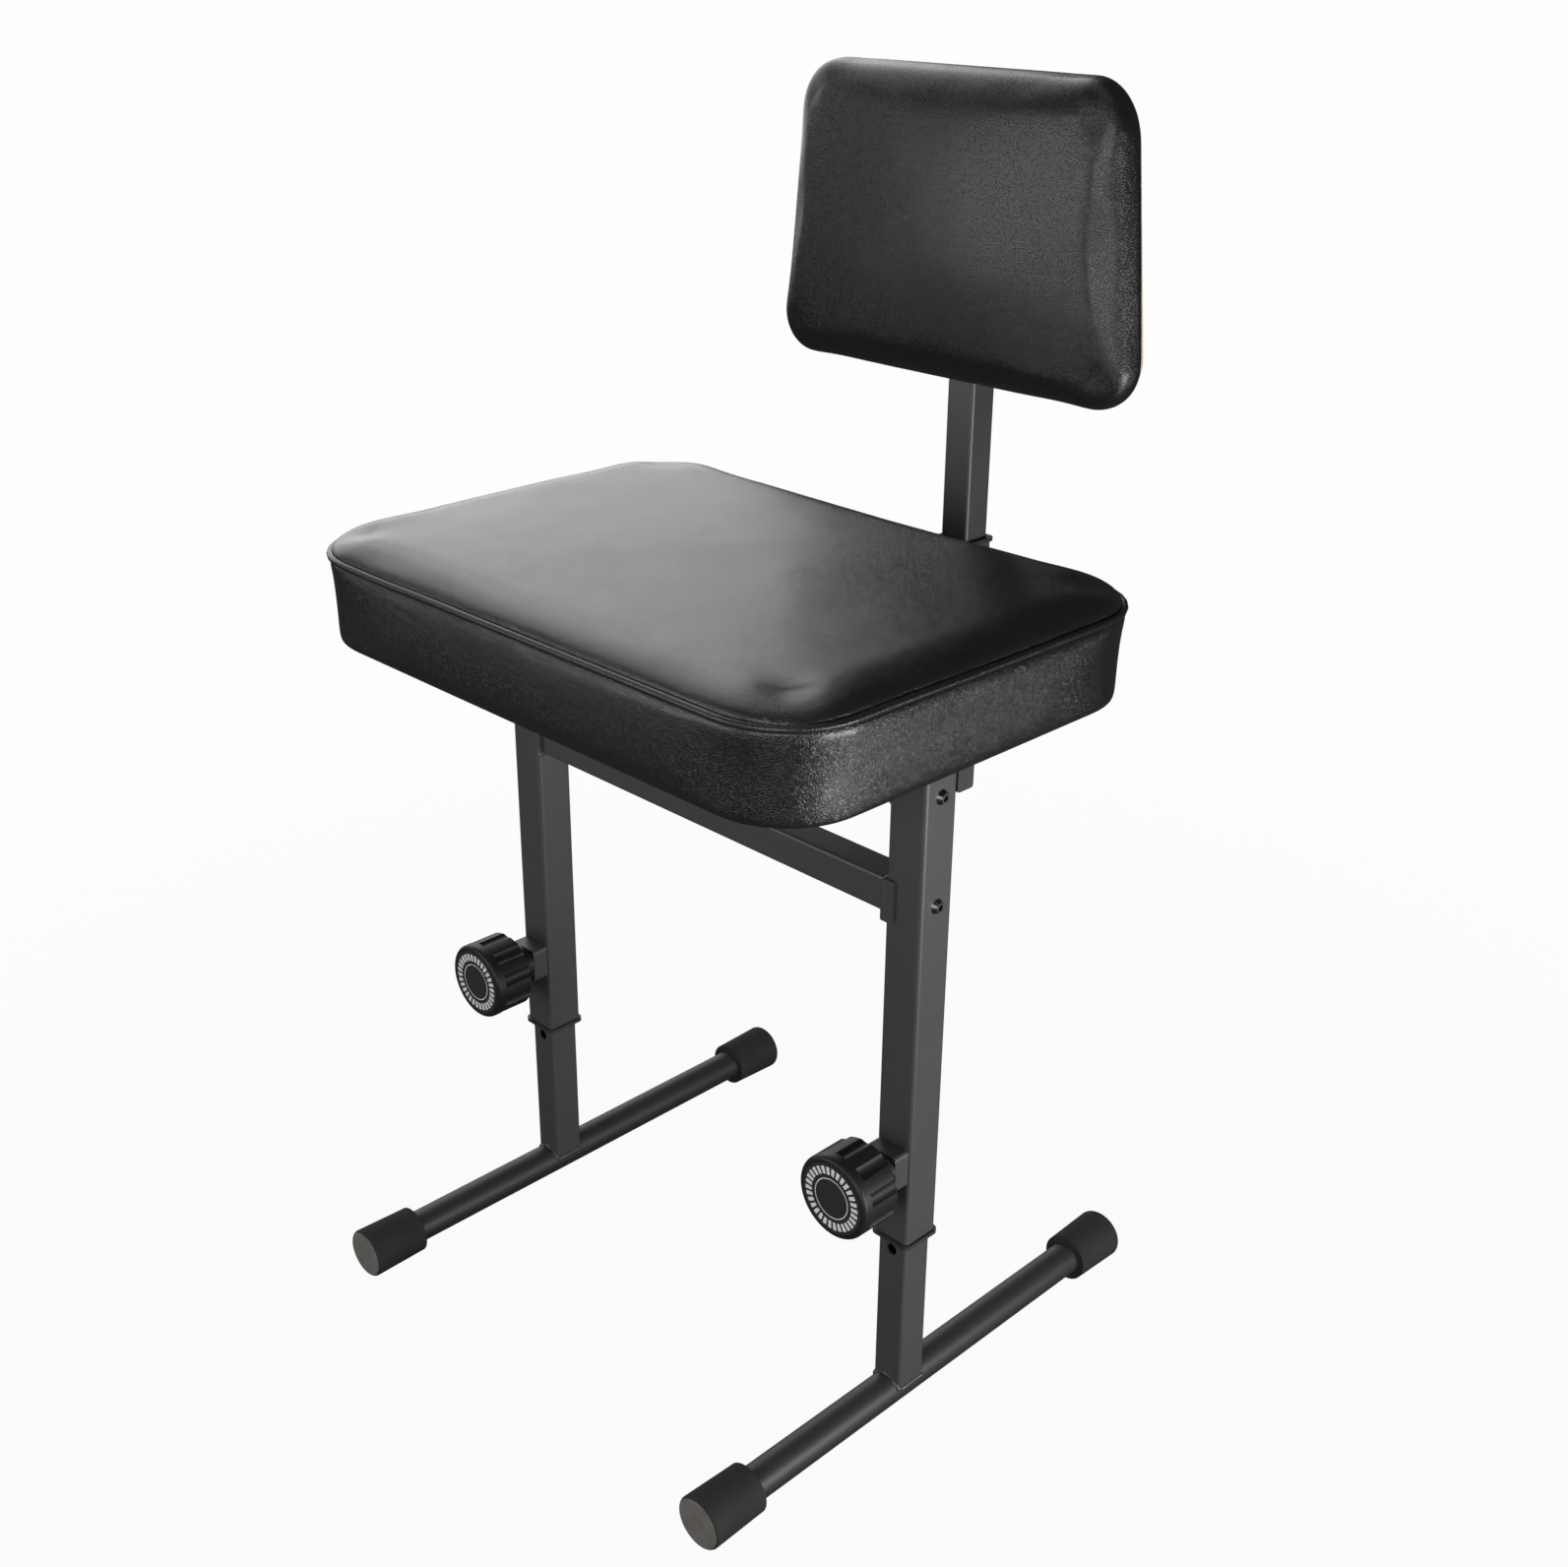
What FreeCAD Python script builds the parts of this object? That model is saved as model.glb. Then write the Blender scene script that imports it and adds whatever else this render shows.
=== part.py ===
import FreeCAD, Part
import Sketcher
import math
import os

# Keyboard bench with a backrest, in millimetres.
# Frame: +Z up, the sitter faces -Y, the origin is on the floor in the middle of the bench's extent.
# Left and right are as seen from in front, so left is -X.

V = FreeCAD.Vector

HOLES_EACH_WAY = 3

DRIVING_SIZES = [
    ("seat_width", 480.0, "width of the seat"),
    ("seat_depth", 342.0, "depth of the seat"),
    ("seat_corner", 58.0, "corner radius of the seat"),
    ("seat_centre", 3.0, "how far the seat's middle is behind the legs' axis"),
    ("seat_bottom", 518.5, "height of the seat's underside"),
    ("seat_side", 61.7, "height of the seat's side up to its piping"),
    ("seat_crown", 15.0, "rise of the seat's top above its piping"),
    ("seat_dome", 12000.0, "radius of the seat's crowned top"),
    ("seat_round", 11.0, "rounding between the seat's crowned top and its piping"),
    ("seat_draw", 3.0, "how far the seat's side draws in at the bottom"),
    ("seat_board", 12.0, "thickness of the seat board"),
    ("cover_thick", 1.2, "thickness of the vinyl with its backing"),
    ("cover_hem", 22.0, "width of the cover's hem on the board"),
    ("foam_gap", 0.4, "gap left between foam and cover"),
    ("seam_bulk", 3.0, "sewn allowance inside the seat's piped edge"),
    ("piping_radius", 2.5, "radius of the piping"),
    ("piping_gap", 0.1, "gap around the piping in its groove"),
    ("piping_inset", 1.0, "how far the piping's axis lies inside the seat's side"),
    ("leg_inset", 46.7, "distance of a leg's axis from the seat's side"),
    ("leg_tube", 30.0, "width of the upper, outer leg tube"),
    ("leg_wall", 1.5, "wall of the upper leg tube"),
    ("leg_corner", 3.0, "outer corner radius of the upper leg tube"),
    ("leg_play", 1.0, "room on each side between the outer and the inner tube"),
    ("inner_wall", 1.5, "wall of the lower leg tube and of the back post"),
    ("inner_corner", 2.5, "outer corner radius of the lower leg tube and of the back post"),
    ("slide_gap", 0.2, "gap on each side of a tube that slides in a plastic part"),
    ("collar_flange", 3.0, "thickness of a collar's flange"),
    ("collar_lip", 2.0, "how far a collar's flange stands out beyond its tube"),
    ("collar_liner", 25.0, "length of a collar's liner inside its tube"),
    ("glide_length", 12.0, "length of the plastic glide on top of the lower leg tube"),
    ("plug_length", 10.0, "length of a plug inside its tube"),
    ("plug_flange", 2.0, "thickness of a plug's flange"),
    ("pin_height", 216.5, "height of the leg knobs' pins"),
    ("pin_to_end", 63.0, "upper leg tube below the leg knob's pin"),
    ("tube_end", 16.5, "tube beyond the last locking hole"),
    ("hole_pitch", 25.0, "distance between two locking holes"),
    ("pin_radius", 4.0, "radius of a locking pin"),
    ("pin_gap", 0.3, "gap around a locking pin in a tube wall"),
    ("pin_retreat", 0.4, "how far a pin's nose stops short of the inner tube"),
    ("foot_radius", 12.5, "outer radius of the floor tube"),
    ("foot_wall", 1.5, "wall of the floor tube"),
    ("foot_front", 196.3, "reach of the foot in front of the leg"),
    ("foot_back", 242.4, "reach of the foot behind the leg"),
    ("weld_gap", 0.05, "gap left at a welded saddle cut"),
    ("saddle_cut", 3.0, "height of the lower leg's end above the floor tube's axis"),
    ("cap_wall", 7.0, "rubber around the floor tube"),
    ("cap_taper", 1.2, "how much smaller the cap's inner end is, on the radius"),
    ("cap_length", 46.0, "length of a rubber foot cap"),
    ("cap_end", 6.0, "rubber in front of the floor tube's end"),
    ("cap_round", 3.0, "rounding of the cap's outer edge"),
    ("cap_flat", 0.5, "rubber pressed flat where the cap stands on the floor"),
    ("brace_tube", 25.0, "width of the cross brace"),
    ("brace_wall", 1.5, "wall of the cross brace"),
    ("brace_corner", 2.5, "corner radius of the cross brace"),
    ("brace_drop", 107.5, "depth of the cross brace's axis and bolts below the seat"),
    ("saddle_height", 30.0, "height of the bracket on each end of the brace"),
    ("saddle_thick", 3.0, "steel thickness of the brackets and tabs"),
    ("saddle_lap", 8.0, "how far the bracket's flanges lie over the leg"),
    ("saddle_round", 2.5, "rounding of the bracket's bends"),
    ("top_bolt_drop", 31.5, "depth of the upper leg bolts below the seat"),
    ("bolt_radius", 3.0, "radius of a bolt's shank"),
    ("bolt_gap", 0.3, "gap around a shank in its hole"),
    ("thread_gap", 0.05, "gap that stands for the thread between a shank and its nut"),
    ("head_rim", 2.25, "how far a button head reaches beyond its shank"),
    ("head_slope", 1.85, "how much smaller the flat on a button head is, on the radius"),
    ("head_height", 3.3, "height of a button head"),
    ("socket_radius", 2.3, "corner radius of the hexagon socket"),
    ("socket_depth", 1.8, "depth of the hexagon socket"),
    ("nut_rim", 2.77, "how far a nut's corners reach beyond the shank"),
    ("nut_height", 5.0, "height of a nut"),
    ("bolt_end", 2.0, "shank that stands out of its nut"),
    ("rail_depth", 15.0, "front to back size of the rear rail"),
    ("rail_height", 30.0, "height of the rear rail"),
    ("rail_wall", 1.5, "wall of the rear rail"),
    ("rail_corner", 2.0, "corner radius of the rear rail"),
    ("tab_reach", 12.0, "reach of the bolted tab in front of the leg's axis"),
    ("tab_height", 28.0, "height of the bolted tab"),
    ("tab_corner", 6.0, "corner radius of the bolted tab"),
    ("plate_width", 40.0, "width of a seat plate"),
    ("plate_margin", 51.0, "how much shorter than the seat each end of its plate is"),
    ("plate_thick", 5.0, "thickness of the seat plates"),
    ("plate_corner", 8.0, "corner radius of the seat plates"),
    ("plate_shift", 10.0, "how far the seat plates sit in front of the leg's axis"),
    ("plate_edge", 15.0, "distance of a screw from the end of its plate"),
    ("tee_wall", 1.2, "wall of a tee nut's barrel around the shank"),
    ("tee_rim", 5.3, "how far a tee nut's flange reaches beyond its barrel"),
    ("tee_flange_thick", 1.5, "thickness of a tee nut's flange"),
    ("tee_gap", 0.1, "gap around a tee nut"),
    ("screw_stop", 2.0, "how far a screw ends inside its board"),
    ("arm_tube", 25.0, "width of the backrest arm"),
    ("arm_wall", 1.5, "wall of the backrest arm"),
    ("arm_plate_width", 66.0, "width of the plate that ties the arm to the seat"),
    ("arm_plate_depth", 40.0, "depth of the plate that ties the arm to the seat"),
    ("arm_plate_inset", 69.0, "distance of that plate's middle from the seat's rear edge"),
    ("arm_screw_edge", 10.0, "distance of its screws from the plate's ends"),
    ("post_gap", 88.0, "distance of the back post's axis behind the seat's rear edge"),
    ("receiver_below", 31.0, "receiver tube below the back knob's pin"),
    ("receiver_rise", 34.8, "receiver tube above the legs' upper ends"),
    ("back_pin_drop", 25.7, "depth of the back knob's pin below the legs' upper ends"),
    ("back_rise", 264.0, "height of the backrest's middle above the seat's underside"),
    ("post_rise", 62.5, "height of the back post's end above the backrest's middle"),
    ("back_plate_width", 64.0, "width of the plate behind the backrest"),
    ("back_plate_height", 150.0, "height of the plate behind the backrest"),
    ("back_plate_thick", 3.0, "thickness of the plate behind the backrest"),
    ("back_screw_edge", 9.0, "distance of the back screws from the plate's long edges"),
    ("back_screw_end", 15.0, "distance of the back screws from the plate's ends"),
    ("back_width_low", 340.0, "width of the backrest at its lower edge"),
    ("back_width_high", 291.0, "width of the backrest at its upper edge"),
    ("back_height", 212.0, "height of the backrest"),
    ("back_corner_low", 34.0, "radius of the backrest's lower corners"),
    ("back_corner_high", 42.0, "radius of the backrest's upper corners"),
    ("back_thick", 41.0, "thickness of the backrest in its middle"),
    ("back_dome", 1600.0, "radius of the backrest's swelling face"),
    ("back_round", 22.0, "rounding of the backrest's rolled edge"),
    ("back_draw", 5.0, "rounding of the backrest's rear edge"),
    ("back_board", 10.0, "thickness of the backrest board"),
    ("block_width", 27.0, "width of the pin housing on the tube"),
    ("block_height", 28.0, "height of the pin housing on the tube"),
    ("block_depth", 13.0, "depth of the pin housing on the tube"),
    ("block_corner", 3.0, "corner radius of the pin housing"),
    ("barrel_wall", 2.0, "wall of the housing's barrel around the spring's chamber"),
    ("barrel_length", 9.0, "length of the housing's barrel inside the knob"),
    ("barrel_room", 1.0, "room in front of the housing's barrel inside the knob"),
    ("barrel_shoulder", 4.0, "thickness of the barrel's end, which the spring pushes on"),
    ("flange_rim", 2.6, "how far the pin's flange reaches beyond the pin"),
    ("flange_gap", 0.4, "gap around the pin's flange in its chamber"),
    ("flange_thick", 2.5, "thickness of the pin's flange"),
    ("spring_gap", 0.7, "gap between the spring and the pin"),
    ("spring_edge", 0.2, "how much smaller than the pin's flange the spring is"),
    ("spring_turns", 5.5, "number of turns of the plunger spring"),
    ("pin_rest", 0.2, "gap between the pin's flange and the tube"),
    ("head_reach", 3.0, "how far the pin's head reaches beyond the pin"),
    ("pin_head_thick", 3.0, "thickness of the pin's head inside the knob"),
    ("turn_gap", 0.06, "radial gap between the pin and the knob that turns on it"),
    ("hub_radius", 15.0, "radius of the knob's hub"),
    ("hub_gap", 0.5, "gap between the knob's hub and the pin housing"),
    ("hub_length", 13.5, "length of the hub behind the knob's head"),
    ("knob_depth", 33.0, "depth of the knob's head"),
    ("knob_radius", 30.0, "radius of the knob's head"),
    ("knob_round", 3.4, "rounding of the knob's front edge"),
    ("knob_back_round", 2.0, "rounding of the knob's rear edge"),
    ("knob_floor", 4.0, "plastic between the barrel's room and the pin head's room"),
    ("flute_radius", 7.0, "radius of a finger flute"),
    ("flute_depth", 2.2, "depth of a finger flute"),
    ("flute_end", 8.0, "plain rim in front of the finger flutes"),
    ("disc_rim", 4.0, "plastic around the knob's face disc"),
    ("disc_thick", 1.2, "thickness of the knob's face disc"),
    ("disc_gap", 0.2, "gap around the knob's face disc"),
]

DERIVED_SIZES = [
    ("board_bottom", "seat_bottom + cover_thick", "height of the seat board's underside"),
    ("leg_top", "board_bottom - plate_thick", "height of the legs' upper ends"),
    ("leg_spacing", "seat_width - 2 * leg_inset", "between the axes of the two legs"),
    ("leg_bottom", "pin_height - pin_to_end", "height of the upper leg tube's lower end"),
    ("inner_tube", "leg_tube - 2 * (leg_wall + leg_play)", "width of the inner tubes"),
    ("inner_leg_top", "pin_height + %d * hole_pitch + tube_end" % HOLES_EACH_WAY,
     "height of the lower leg's end"),
    ("cap_radius", "foot_radius + cap_wall", "largest radius of a rubber foot cap"),
    ("foot_axis", "cap_radius - cap_flat", "height of the floor tube's axis"),
    ("brace_height", "seat_bottom - brace_drop", "height of the cross brace's axis"),
    ("top_bolt_height", "seat_bottom - top_bolt_drop", "height of the upper leg bolts"),
    ("head_radius", "bolt_radius + head_rim", "radius of a button head"),
    ("head_top_radius", "head_radius - head_slope", "radius of the flat on a button head"),
    ("nut_radius", "bolt_radius + nut_rim", "corner radius of a nut"),
    ("rail_middle", "(leg_tube + rail_depth) / 2", "distance of the rail behind the legs' axis"),
    ("plate_length", "seat_depth - 2 * plate_margin", "length of a seat plate"),
    ("tee_barrel", "bolt_radius + tee_wall", "radius of a tee nut's barrel"),
    ("tee_flange", "tee_barrel + tee_rim", "radius of a tee nut's flange"),
    ("seat_rear", "seat_centre + seat_depth / 2", "distance of the seat's rear edge"),
    ("arm_plate_place", "seat_rear - arm_plate_inset", "place of the arm's plate"),
    ("arm_screw_x", "arm_plate_width / 2 - arm_screw_edge", "place of the arm plate's screws"),
    ("post_place", "seat_rear + post_gap", "distance of the back post behind the legs' axis"),
    ("back_pin_height", "leg_top - back_pin_drop", "height of the back knob's pin"),
    ("receiver_bottom", "back_pin_height - receiver_below", "height of the receiver's lower end"),
    ("receiver_top", "leg_top + receiver_rise", "height of the receiver's upper end"),
    ("back_middle", "seat_bottom + back_rise", "height of the backrest's middle"),
    ("post_bottom", "back_pin_height - %d * hole_pitch - tube_end - plug_flange" % HOLES_EACH_WAY,
     "height of the back post's lower end"),
    ("post_top", "back_middle + post_rise", "height of the back post's upper end"),
    ("back_plate_rear", "post_place - inner_tube / 2", "place of the back plate's rear face"),
    ("board_rear", "back_plate_rear - back_plate_thick", "place of the backrest board's rear face"),
    ("back_screw_x", "back_plate_width / 2 - back_screw_edge", "back screws beside the middle"),
    ("back_screw_z", "back_plate_height / 2 - back_screw_end", "back screws above the middle"),
    ("pin_flange", "pin_radius + flange_rim", "radius of the pin's flange"),
    ("chamber_radius", "pin_flange + flange_gap", "radius of the spring's chamber"),
    ("barrel_radius", "chamber_radius + barrel_wall", "radius of the housing's barrel"),
    ("boss_depth", "block_depth + barrel_length", "depth of the whole pin housing"),
    ("spring_outer", "pin_flange - spring_edge", "outer radius of the plunger spring"),
    ("spring_inner", "pin_radius + spring_gap", "inner radius of the plunger spring"),
    ("pin_head", "pin_radius + head_reach", "radius of the pin's head"),
    ("hub_start", "block_depth + hub_gap", "distance of the hub's end from the tube"),
    ("knob_back", "hub_start + hub_length", "distance of the knob's rear face from the tube"),
    ("knob_front", "knob_back + knob_depth", "distance of the knob's face from the tube"),
    ("barrel_end", "boss_depth + barrel_room", "end of the barrel's room in the knob"),
    ("pin_head_floor", "knob_front - disc_thick - pin_head_thick - knob_floor",
     "floor of the pin head's room in the knob"),
    ("flute_length", "knob_depth - flute_end", "length of a finger flute"),
    ("disc_radius", "knob_radius - disc_rim", "radius of the knob's face disc"),
    ("depth_middle", "(post_place + leg_tube / 2 + knob_front - foot_front) / 2",
     "distance of the bench's middle behind the legs' axis"),
]

FLUTES = 10
SEAT_SIDE_LEVELS = [(0.0, 1.0), (0.5, 0.0), (1.0, 0.4)]

TURN = {
    "+Z": FreeCAD.Rotation(V(0, 0, 1), 0),
    "-Z": FreeCAD.Rotation(V(1, 0, 0), 180),
    "+X": FreeCAD.Rotation(V(0, 1, 0), 90),
    "-X": FreeCAD.Rotation(V(0, 1, 0), -90),
    "+Y": FreeCAD.Rotation(V(1, 0, 0), -90),
    "-Y": FreeCAD.Rotation(V(1, 0, 0), 90),
}


class Size:
    """A length with its number and the sheet expression that it comes from."""

    def __init__(self, value, text):
        self.value = value
        self.text = text

    @staticmethod
    def of(other):
        if isinstance(other, Size):
            return other
        return Size(float(other), repr(float(other)))

    def combine(self, other, sign, value):
        return Size(value, "(%s %s %s)" % (self.text, sign, other.text))

    def __add__(self, other):
        other = Size.of(other)
        return self.combine(other, "+", self.value + other.value)

    def __radd__(self, other):
        return Size.of(other) + self

    def __sub__(self, other):
        other = Size.of(other)
        return self.combine(other, "-", self.value - other.value)

    def __rsub__(self, other):
        return Size.of(other) - self

    def __mul__(self, other):
        other = Size.of(other)
        return self.combine(other, "*", self.value * other.value)

    def __rmul__(self, other):
        return Size.of(other) * self

    def __truediv__(self, other):
        other = Size.of(other)
        return self.combine(other, "/", self.value / other.value)

    def __neg__(self):
        return Size(0.0, "0") - self


class Sizes:
    """The sheet's cells as attributes, each a Size."""


doc = FreeCAD.newDocument("keyboard_bench")
sheet = doc.addObject("Spreadsheet::Sheet", "Sizes")
s = Sizes()


def fill_sheet():
    for row, (alias, value, meaning) in enumerate(DRIVING_SIZES + DERIVED_SIZES, start=1):
        sheet.set("A%d" % row, meaning)
        sheet.set("B%d" % row, "=" + value if isinstance(value, str) else "%g" % value)
        sheet.setAlias("B%d" % row, alias)
    doc.recompute()
    for alias, value, meaning in DRIVING_SIZES + DERIVED_SIZES:
        setattr(s, alias, Size(float(getattr(sheet, alias)), "Sizes." + alias))


def place(thing, x=0, y=0, z=0, turn="+Z"):
    """Puts a finished shape in its place; y is measured from the legs' axis."""
    spot = [Size.of(x), y - s.depth_middle, Size.of(z)]
    thing.Placement = FreeCAD.Placement(V(*[size.value for size in spot]), TURN[turn])
    for letter, size in zip("xyz", spot):
        if "Sizes." in size.text:
            thing.setExpression("Placement.Base." + letter, size.text)
    return thing


# Sketches and features of a solid body


def new_body(label):
    body = doc.addObject("PartDesign::Body", label)
    body.Label = label
    return body


def new_sketch(body, plane_role, offset=0):
    sketch = body.newObject("Sketcher::SketchObject", body.Label + "_sketch")
    plane = [f for f in body.Origin.OriginFeatures if f.Role == plane_role][0]
    sketch.AttachmentSupport = (plane, "")
    sketch.MapMode = "FlatFace"
    offset = Size.of(offset)
    sketch.AttachmentOffset = FreeCAD.Placement(V(0, 0, offset.value), FreeCAD.Rotation())
    if "Sizes." in offset.text:
        sketch.setExpression("AttachmentOffset.Base.z", offset.text)
    return sketch


def hold(sketch, kind, places, size):
    """Adds a constraint with a value that follows the sheet."""
    index = sketch.addConstraint(Sketcher.Constraint(kind, *places, size.value))
    if "Sizes." in size.text:
        sketch.setExpression("Constraints[%d]" % index, size.text)


def hold_point(sketch, geometry, end, x, y):
    """Fixes a point of the sketch at a distance from its origin."""
    for kind, axis, size in (("DistanceX", -2, Size.of(x)), ("DistanceY", -1, Size.of(y))):
        if abs(size.value) < 1e-9:
            sketch.addConstraint(Sketcher.Constraint("PointOnObject", geometry, end, axis))
        elif size.value > 0:
            hold(sketch, kind, (-1, 1, geometry, end), size)
        else:
            hold(sketch, kind, (geometry, end, -1, 1), -size)


def draw_circle(sketch, radius, x=0, y=0):
    radius, x, y = Size.of(radius), Size.of(x), Size.of(y)
    circle = Part.Circle(V(x.value, y.value, 0), V(0, 0, 1), radius.value)
    index = sketch.addGeometry(circle, False)
    hold_point(sketch, index, 3, x, y)
    hold(sketch, "Radius", (index,), radius)


def draw_outline(sketch, points):
    """A closed outline of straight lines through the given points."""
    points = [(Size.of(x), Size.of(y)) for x, y in points]
    first = sketch.GeometryCount
    for number, (x, y) in enumerate(points):
        next_x, next_y = points[(number + 1) % len(points)]
        line = Part.LineSegment(V(x.value, y.value, 0), V(next_x.value, next_y.value, 0))
        sketch.addGeometry(line, False)
    for number, (x, y) in enumerate(points):
        after = first + (number + 1) % len(points)
        sketch.addConstraint(Sketcher.Constraint("Coincident", first + number, 2, after, 1))
        hold_point(sketch, first + number, 1, x, y)


def draw_rounded_rectangle(sketch, width, height, radius):
    """A rectangle with round corners, centred on the sketch's origin."""
    width, height, radius = Size.of(width), Size.of(height), Size.of(radius)
    a, b, r = width.value / 2, height.value / 2, radius.value
    first = sketch.GeometryCount
    corners = [(-a + r, -b), (a - r, -b), (a, -b + r), (a, b - r)]
    corners += [(a - r, b), (-a + r, b), (-a, b - r), (-a, -b + r)]
    for number in range(4):
        start, end = corners[2 * number], corners[2 * number + 1]
        sketch.addGeometry(Part.LineSegment(V(*start, 0), V(*end, 0)), False)
    centres = [(a - r, -b + r), (a - r, b - r), (-a + r, b - r), (-a + r, -b + r)]
    for number, centre in enumerate(centres):
        circle = Part.Circle(V(*centre, 0), V(0, 0, 1), r)
        start = (number - 1) * math.pi / 2
        sketch.addGeometry(Part.ArcOfCircle(circle, start, start + math.pi / 2), False)
    for number in range(4):
        arc = first + 4 + number
        after = first + (number + 1) % 4
        sketch.addConstraint(Sketcher.Constraint("Tangent", first + number, 2, arc, 1))
        sketch.addConstraint(Sketcher.Constraint("Tangent", arc, 2, after, 1))
        level = "Vertical" if number % 2 else "Horizontal"
        sketch.addConstraint(Sketcher.Constraint(level, first + number))
    for number in range(1, 4):
        sketch.addConstraint(Sketcher.Constraint("Equal", first + 4, first + 4 + number))
    sketch.addConstraint(Sketcher.Constraint("Symmetric", first, 1, first + 2, 1, -1, 1))
    hold(sketch, "DistanceX", (first + 3, 1, first + 1, 1), width)
    hold(sketch, "DistanceY", (first, 1, first + 2, 1), height)
    hold(sketch, "Radius", (first + 4,), radius)


def set_length(feature, name, size):
    size = Size.of(size)
    setattr(feature, name, size.value)
    if "Sizes." in size.text:
        feature.setExpression(name, size.text)


def add_pad(body, sketch, length, reverse=False, both_sides=False):
    pad = body.newObject("PartDesign::Pad", body.Label + "_pad")
    pad.Profile = sketch
    set_length(pad, "Length", length)
    pad.Reversed = reverse
    if both_sides:
        pad.SideType = "Symmetric"
    return pad


def add_pocket(body, sketch, depth=None, reverse=False, both_sides=False):
    """Cuts a sketch out of the body, right through where no depth is given."""
    doc.recompute()
    before = body.Shape.Volume
    pocket = body.newObject("PartDesign::Pocket", body.Label + "_pocket")
    pocket.Profile = sketch
    pocket.Reversed = reverse
    if depth is None:
        pocket.Type = "ThroughAll"
    else:
        set_length(pocket, "Length", depth)
    if both_sides:
        pocket.SideType = "Symmetric"
    doc.recompute()
    if not body.Shape.Volume < before - 0.01:
        raise RuntimeError(body.Label + ": the pocket cuts nothing")
    return pocket


def add_revolution(body, sketch):
    turned = body.newObject("PartDesign::Revolution", body.Label + "_turned")
    turned.Profile = sketch
    turned.ReferenceAxis = (sketch, ["V_Axis"])
    turned.Angle = 360
    return turned


def edges_where(shape, wanted):
    return ["Edge%d" % n for n, edge in enumerate(shape.Edges, start=1) if wanted(edge)]


def circle_at(radius, level):
    """Picks full circular edges of a radius at a level along the body's Z."""
    def wanted(edge):
        curve = edge.Curve
        if not isinstance(curve, Part.Circle):
            return False
        return abs(curve.Radius - radius.value) < 1e-3 and abs(curve.Center.z - level.value) < 1e-3
    return wanted


def along_z_at(x, y):
    """Picks straight edges that run along Z at a place."""
    def wanted(edge):
        if not isinstance(edge.Curve, Part.Line):
            return False
        ends = [vertex.Point for vertex in edge.Vertexes]
        return all(abs(abs(p.x) - x) < 1e-3 and abs(abs(p.y) - y) < 1e-3 for p in ends)
    return wanted


def add_fillet(body, wanted, radius):
    doc.recompute()
    base = body.Tip
    names = edges_where(base.Shape, wanted)
    if not names:
        raise RuntimeError(body.Label + ": no edge to round")
    fillet = body.newObject("PartDesign::Fillet", body.Label + "_fillet")
    fillet.Base = (base, names)
    set_length(fillet, "Radius", radius)
    return fillet


# Simple solids and their unions and cuts


def cylinder(label, radius, height, x=0, y=0, z=0, turn="+Z"):
    solid = doc.addObject("Part::Cylinder", label)
    set_length(solid, "Radius", radius)
    set_length(solid, "Height", height)
    return place(solid, x, y, z, turn)


def cone(label, bottom_radius, top_radius, height, x=0, y=0, z=0, turn="+Z"):
    solid = doc.addObject("Part::Cone", label)
    set_length(solid, "Radius1", bottom_radius)
    set_length(solid, "Radius2", top_radius)
    set_length(solid, "Height", height)
    return place(solid, x, y, z, turn)


def hexagon(label, corner_radius, height, x=0, y=0, z=0, turn="+Z"):
    solid = doc.addObject("Part::Prism", label)
    solid.Polygon = 6
    set_length(solid, "Circumradius", corner_radius)
    set_length(solid, "Height", height)
    return place(solid, x, y, z, turn)


def union(label, *solids):
    joined = doc.addObject("Part::MultiFuse", label)
    joined.Shapes = list(solids)
    return joined


def difference(label, base, tool):
    cut = doc.addObject("Part::Cut", label)
    cut.Base = base
    cut.Tool = tool
    return cut


def group(label, solids):
    """Several alike solids that share one name."""
    compound = doc.addObject("Part::Compound", label)
    compound.Label = label
    compound.Links = solids
    return compound


def fixed_shape(label, shape):
    feature = doc.addObject("Part::Feature", label)
    feature.Label = label
    feature.Shape = shape
    return feature


# Tubes, plugs and collars


def square_tube(label, width, depth, wall, corner, length, start=0):
    """A tube of rectangular section with round corners, along its own Z."""
    body = new_body(label)
    sketch = new_sketch(body, "XY_Plane", start)
    draw_rounded_rectangle(sketch, width, depth, corner)
    draw_rounded_rectangle(sketch, width - 2 * wall, depth - 2 * wall, corner - wall)
    add_pad(body, sketch, length)
    return body


def holes_along_x(body, heights, radius):
    sketch = new_sketch(body, "YZ_Plane")
    for height in heights:
        draw_circle(sketch, radius, 0, height)
    add_pocket(body, sketch, both_sides=True)


def holes_to_front(body, heights, radius):
    """Holes through the wall on the -Y side."""
    sketch = new_sketch(body, "XZ_Plane")
    for height in heights:
        draw_circle(sketch, radius, 0, height)
    add_pocket(body, sketch, reverse=True)


def holes_to_back(body, heights, radius):
    """Holes through the wall on the +Y side."""
    sketch = new_sketch(body, "XZ_Plane")
    for height in heights:
        draw_circle(sketch, radius, 0, height)
    add_pocket(body, sketch)


def locking_heights(middle):
    steps = range(-HOLES_EACH_WAY, HOLES_EACH_WAY + 1)
    return [middle + step * s.hole_pitch for step in steps]


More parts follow.
